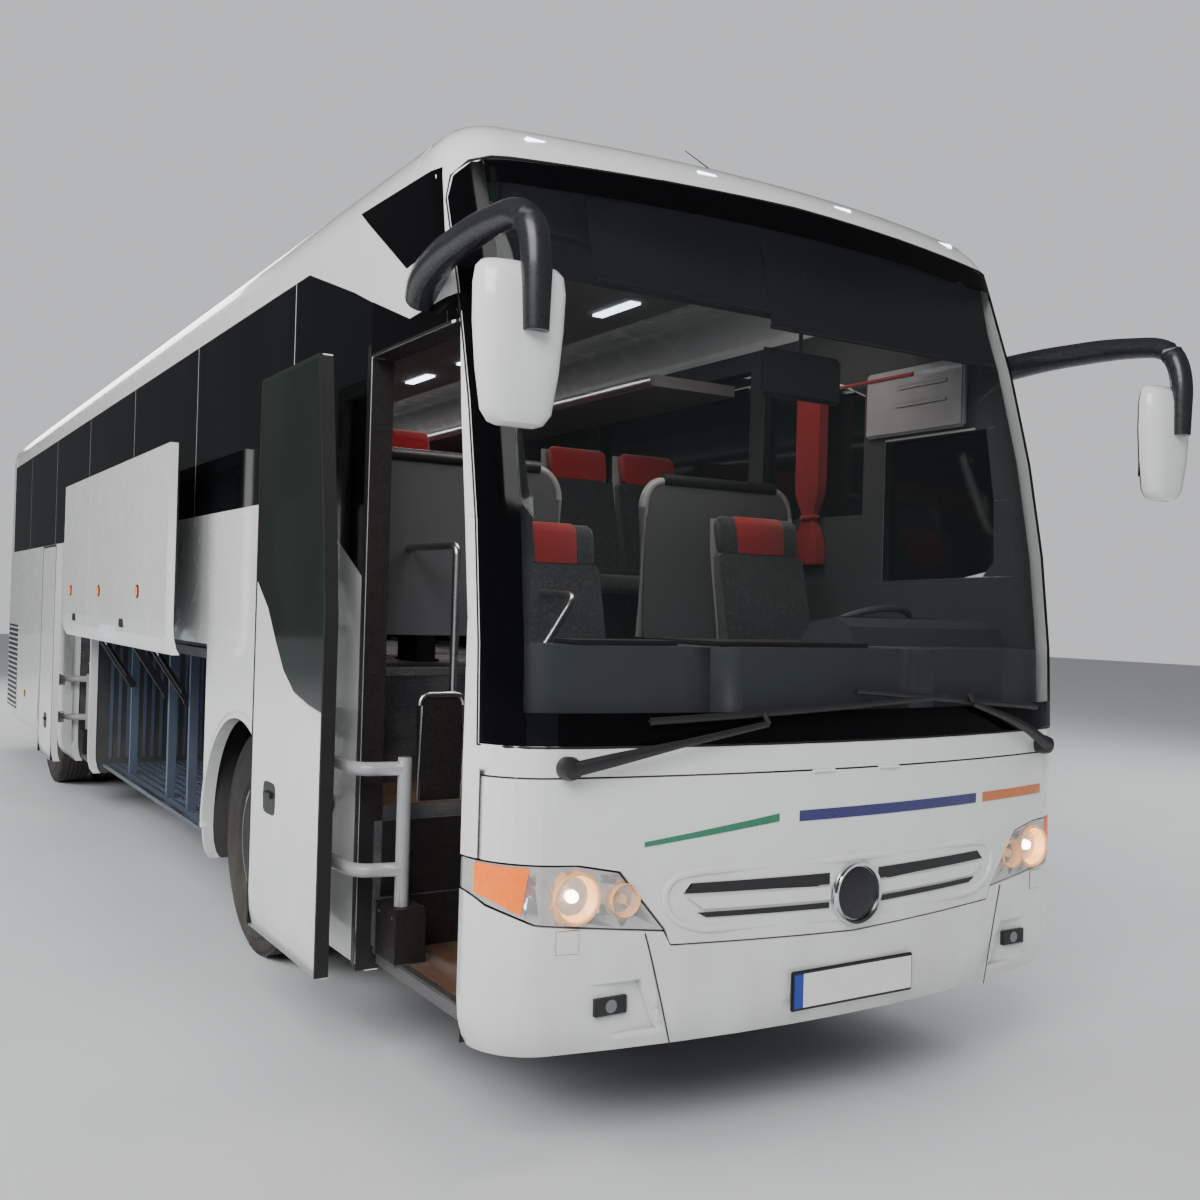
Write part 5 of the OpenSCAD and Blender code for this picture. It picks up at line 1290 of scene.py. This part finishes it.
def cab():
    """Frames and padded tops of the partitions, the inner mirror and the sun blinds"""
    rails, pads, case, mirror, blinds = fresh(5)
    for x0, x1 in ((-1.12, -0.17), (0.3, 1.17)):
        loop = [(x0, 1.545), (x0, 2.2), (x0 + 0.06, 2.275), (x1 - 0.06, 2.275), (x1, 2.2), (x1, 1.545)]
        rod(rails, rounded([spot(x, 1.77, z) for x, z in loop], 0.05), 0.024)
        rod(pads, [spot(x0 + 0.1, 1.77, 2.285), spot(x1 - 0.1, 1.77, 2.285)], 0.032, 16)
    block(case, (-0.04, 0.35), (0.50, 0.53), (2.47, 2.65), 0.014)
    rod(case, [spot(0.15, 0.52, 2.64), spot(0.15, 0.50, 2.95)], 0.008, 10)
    block(mirror, (-0.025, 0.335), (0.53, 0.532), (2.485, 2.635), 0.001)
    for x0, x1, low in ((-0.80, -0.06, 2.76), (-0.05, 1.12, 2.71)):
        ring_skin(blinds, [[spot(x0, d, z), spot(x1, d, z), spot(x1, d + 0.004, z), spot(x0, d + 0.004, z)]
                           for d, z in ((0.44, low), (0.50, 2.95), (0.52, 3.05))])
        rod(blinds, [spot(x0, 0.442, low), spot(x1, 0.442, low)], 0.011, 10)
    piece("partition_rails", rails, GREY_ARM)
    piece("partition_pads", pads, TRIM)
    piece("inner_mirror_case", case, TRIM)
    piece("inner_mirror_glass", mirror, MIRROR_GLASS)
    piece("sun_blinds", blinds, TRIM)


def ceiling():
    """Ceiling, its lamps, the head box over the windscreen and the rack edges"""
    panel, edges, box = fresh(3)
    block(panel, (-0.70, 0.70), (1.8, 11.4), (3.205, 3.225), 0.004)
    for s in SIDES:
        rod(edges, [spot(s * 0.705, 2.31, 2.87), spot(s * 0.705, 11.45, 2.87)], 0.028, 12)
    block(box, (-1.1, 1.1), (0.60, 1.02), (2.90, 3.16), 0.03)
    piece("ceiling_panel", panel, LINER)
    piece("rack_edges", edges, RAIL)
    piece("head_box", box, WALL_CLOTH)
    lit = bars(ROOF_LAMP, [spot(s * 0.45, 2.3, 3.2) for s in SIDES], 11, (0, 0.83, 0), (0.06, 0.36, 0.012))
    piece("ceiling_lamps", lit, ROOF_LAMP)


def linings():
    """Dark lining on the inside of the walls, round their windows"""
    bm, reveals, panel = fresh(3)
    skin = (-0.0507, 0.0517)

    def strip(s, corners, across, up):
        flank_patch(bm, corners, s, *skin, across, up)
    for s in SIDES:
        if s > 0:
            strip(s, oblong(2.0, 11.9, 1.41, 2.1495), 2, 2)
        strip(s, oblong(2.045, 11.9, 2.9605, 3.06), 2, 2)
        for d in PANE_SEAMS:
            strip(s, oblong(d - 0.0595, d + 0.0595, PANE_SILL, PANE_TOP), 2, 2)
        low = 2.572 if s < 0 else 2.49
        strip(s, oblong(0.62, 1.2895, low, 3.06), 12, 8)
        strip(s, [(1.29, 2.715), (1.39, 2.762), (1.39, 3.06), (1.29, 3.06)], 1, 2)
        strip(s, [(1.391, 2.77), (1.90, 2.945), (1.90, 3.06), (1.391, 3.06)], 2, 2)
        strip(s, oblong(1.901, 2.049, 2.946, 3.06), 1, 2)
    for s, d0, d1, low, high, across, up in (
            (-1, 2.0, 6.76, 1.41, 2.1495, 2, 2), (-1, 7.56, 11.9, 1.41, 2.1495, 2, 2),
            (-1, 6.77, 7.55, 2.07, 2.1495, 2, 1), (-1, 1.215, 1.999, 0.94, 2.1, 2, 2),
            (-1, 1.215, 1.2895, 2.101, 2.571, 1, 2), (1, 0.40, 1.999, 0.94, 1.825, 14, 8),
            (1, 1.1515, 1.2895, 1.826, 2.489, 1, 2), (1, 1.29, 1.999, 1.826, 2.1495, 1, 2),
            (1, 0.40, 0.619, 2.4805, 2.4995, 6, 1)):
        strip(s, oblong(d0, d1, low, high), across, up)
    strip(1, [(0.40, 1.8255), (1.151, 1.8255), (1.151, 1.8345), (0.40, 1.851)], 14, 1)
    strip(1, [(0.4995, 1.8515), (0.56, 1.8515), (0.53, 1.885), (0.501, 1.91)], 2, 2)
    strip(1, [(0.40, 1.852), (0.499, 1.852), (0.509, 2.17), (0.40, 2.17)], 4, 3)
    strip(1, [(0.40, 2.171), (0.509, 2.171), (0.558, 2.479), (0.40, 2.479)], 4, 3)
    for s in SIDES:
        nose_patch(bm, sided(s, oblong(1.222, 1.179, 1.30, 3.05)), *skin, 6, 16)
    for low, high in ((1.3, 1.93), (1.93, 2.5), (2.5, 3.06)):
        a, b = 0.185 + lean(low), 0.185 + lean(high)
        rear = 0.619 if low > 2.4 else 0.399
        strip(1, [(a, low), (rear, low), (rear, high), (b, high)], 10, 6)
        if low < 2.4:
            strip(-1, [(a, low), (0.345, low), (0.345, high), (b, high)], 8, 6)
    first = [(1.29, PANE_SILL), (1.29, 2.71), (1.40, 2.76), (1.90, 2.94), (2.04, 2.94), (2.04, PANE_SILL),
             (1.29, PANE_SILL)]
    panes = []
    for front, rear in zip(PANE_SEAMS, PANE_SEAMS[1:]):
        a, b = front + 0.06, rear - 0.06
        panes.append([(a, PANE_SILL), (a, PANE_TOP), (b, PANE_TOP), (b, PANE_SILL), (a, PANE_SILL)])
    cab_side = [(0.50, 1.85), (0.51, 2.17), (0.56, 2.48), (1.15, 2.48), (1.15, 1.835), (0.50, 1.85)]
    for s, paths in ((-1, [first] + panes), (1, [first, cab_side] + panes)):
        for path in paths:
            edge_band(reveals, path, (0, 0), s * 1.2245, s * 1.2665, 0.0003, 0.0014)
    block(panel, (1.188, 1.221), (0.66, 1.25), (2.50, 2.80), 0.01)
    for z in (2.70, 2.62):
        block(panel, (1.184, 1.19), (0.75, 1.05), (z, z + 0.02), 0.003)
    piece("wall_linings", bm, WALL_CLOTH)
    piece("window_reveals", reveals, RUBBER)
    piece("cab_side_panel", panel, GREY_ARM)


def curtain():
    """Tied red curtain at the driver's window, one pleated sheet, with its tie and rail"""
    bm, tie = fresh(2)
    x, d, top, drop, tie_z = 1.185, 1.62, 2.75, 0.83, 2.15
    pleats, down, over = 12, 24, 96
    depth, half = 0.03, 0.085
    rows = []
    for k in range(down + 1):
        t = k / down
        pinch = 1.0 - 0.5 * math.exp(-((t - 0.72) / 0.09) ** 2)
        row = []
        for j in range(over + 1):
            u = j / over
            fold = math.cos(2 * math.pi * pleats * u)
            place = (x + depth * pinch * fold, at(d) + half * pinch * (2 * u - 1), top - drop * t)
            row.append(bm.verts.new(place))
        rows.append(row)
    for low, high in zip(rows, rows[1:]):
        for k in range(over):
            bm.faces.new((low[k], low[k + 1], high[k + 1], high[k]))
    made = piece("cab_curtain", bm, CURTAIN_RED, sharp=180)
    hoop(tie, (x, at(d), tie_z), (0.024, 0, 0), (0, 0.052, 0), 28, 0.011, 8)
    rod(tie, [spot(x, 0.95, 2.765), spot(x, 1.72, 2.765)], 0.008, 10)
    piece("curtain_tie_and_rail", tie, CURTAIN_RED)


# Roof and rear
def roof_details():
    """Fans and guards of the air conditioner, hatch lids, marker lamps and the aerial"""
    fans, guards, lids, lit, whip = fresh(5)
    fan_count, blades, pitch = 4, 7, math.radians(28)
    for k in range(fan_count):
        centre = spot(0, 6.5 + 0.56 * k, 3.53)
        hub = [(0.0, -0.02), (0.05, -0.02), (0.055, 0.03), (0.045, 0.04), (0.0, 0.04)]
        turned(fans, hub, centre, UPWARD, 24)
        for a in angles(blades):
            start = len(fans.verts)
            slab(fans, (-0.075, -0.05, -0.002), (0.075, 0.05, 0.002))
            fans.verts.ensure_lookup_table()
            turn = Matrix.Translation(centre) @ Matrix.Rotation(a, 4, "Z")
            tilt = Matrix.Translation((0.125, 0, 0)) @ Matrix.Rotation(pitch, 4, "X")
            bmesh.ops.transform(fans, matrix=turn @ tilt, verts=fans.verts[start:])
        for r in (0.06, 0.11, 0.16, 0.2):
            hoop(guards, centre + Vector((0, 0, 0.083)), (r, 0, 0), (0, r, 0), 36, 0.003, 6)
        bar_half = 0.208
        for a in angles(8)[:4]:
            tip = Vector((bar_half * math.cos(a), bar_half * math.sin(a), 0.079))
            rod(guards, [centre + tip, centre + Vector((-tip.x, -tip.y, tip.z))], 0.003, 6)
    for d in (3.0, 10.2):
        block(lids, (-0.40, 0.40), (d + 0.02, d + 0.76), (3.37, 3.385), 0.006)
    for x in (-0.96, 0.96, -0.32, 0.32):
        y = nose(x, 3.06) + 0.11
        slab(lit, (x - 0.045, y, 3.195), (x + 0.045, y + 0.03, 3.222), 0.006)
    path = [spot(0.08, d, z) for d, z in ((0.84, 3.30), (0.84, 3.34), (0.86, 3.352), (1.2, 3.60))]
    rod(whip, path, 0.0035, 8, ends=[4, 3, 1, 0.6])
    piece("fan_rotors", fans, TRIM)
    piece("fan_guards", guards, TRIM)
    piece("hatch_lids", lids, TRIM)
    piece("roof_marker_lamps", lit, ROOF_LAMP)
    piece("aerial", whip, TRIM)


def rear_details():
    """Lamp groups, plate, exhaust, lid slats and the bumper's seam"""
    reds, ambers, whites, plate, seams, pipe = fresh(6)
    for s in SIDES:
        flat_lens = [(0.0, -0.002), (0.056, -0.002), (0.056, 0.001), (0.04, 0.0012), (0.0, 0.0013)]
        for z, target in ((0.84, whites), (1.0, ambers), (1.17, reds), (1.34, reds), (1.48, ambers)):
            turned(target, flat_lens, (s * 1.09, tail(1.09, z) + 0.007, z), ALONG)
        turned(reds, [(0.0, -0.01), (0.045, -0.01), (0.045, -0.001), (0.0, 0.002)],
               (s * 0.6, tail(0.6, 3.02) + 0.002, 3.02), ALONG)
        x, y = s * 0.98, tail(0.98, 0.6)
        slab(seams, (x - 0.16, y - 0.004, 0.60), (x + 0.16, y + 0.001, 0.606))
    y = tail(0.26, 0.6)
    slab(plate, (-0.26, y - 0.004, 0.545), (0.26, y - 0.0015, 0.655), 0.0008)
    path = [spot(0.62, d, z) for d, z in ((11.3, 0.45), (11.95, 0.44), (12.05, 0.40))]
    rod(pipe, rounded(path, 0.08, 4), 0.05, 20)
    piece("rear_red_lenses", reds, RED_LENS)
    piece("rear_amber_lenses", ambers, AMBER_LENS)
    piece("rear_white_lenses", whites, CLEAR_LENS)
    piece("rear_plate", plate, PLATE)
    piece("rear_seams", seams, TRIM)
    start = (0, tail(0.5, 1.0) - 0.034, 0.79)
    slats = bars(TRIM, [start], 10, (0, 0, 0.04), (1.4, 0.004, 0.03), (0.5, 0, 0))
    piece("engine_lid_mesh", slats, TRIM, "engine_flap")
    piece("exhaust_pipe", pipe, IRON)


studio_floor()
studio_world()
lamps()
photographers_camera()
panels()
screen_print()
front_lamps()
grille()
bumper_details()
plain_stripes()
wipers()
mirror_heads()
mirror_arms()
side_trim()
flap_trim()
struts()
bays()
doors()
door_boxes()
door_frame()
steps()
wheels()
seats()
dash_details()
cab()
ceiling()
linings()
curtain()
roof_details()
rear_details()
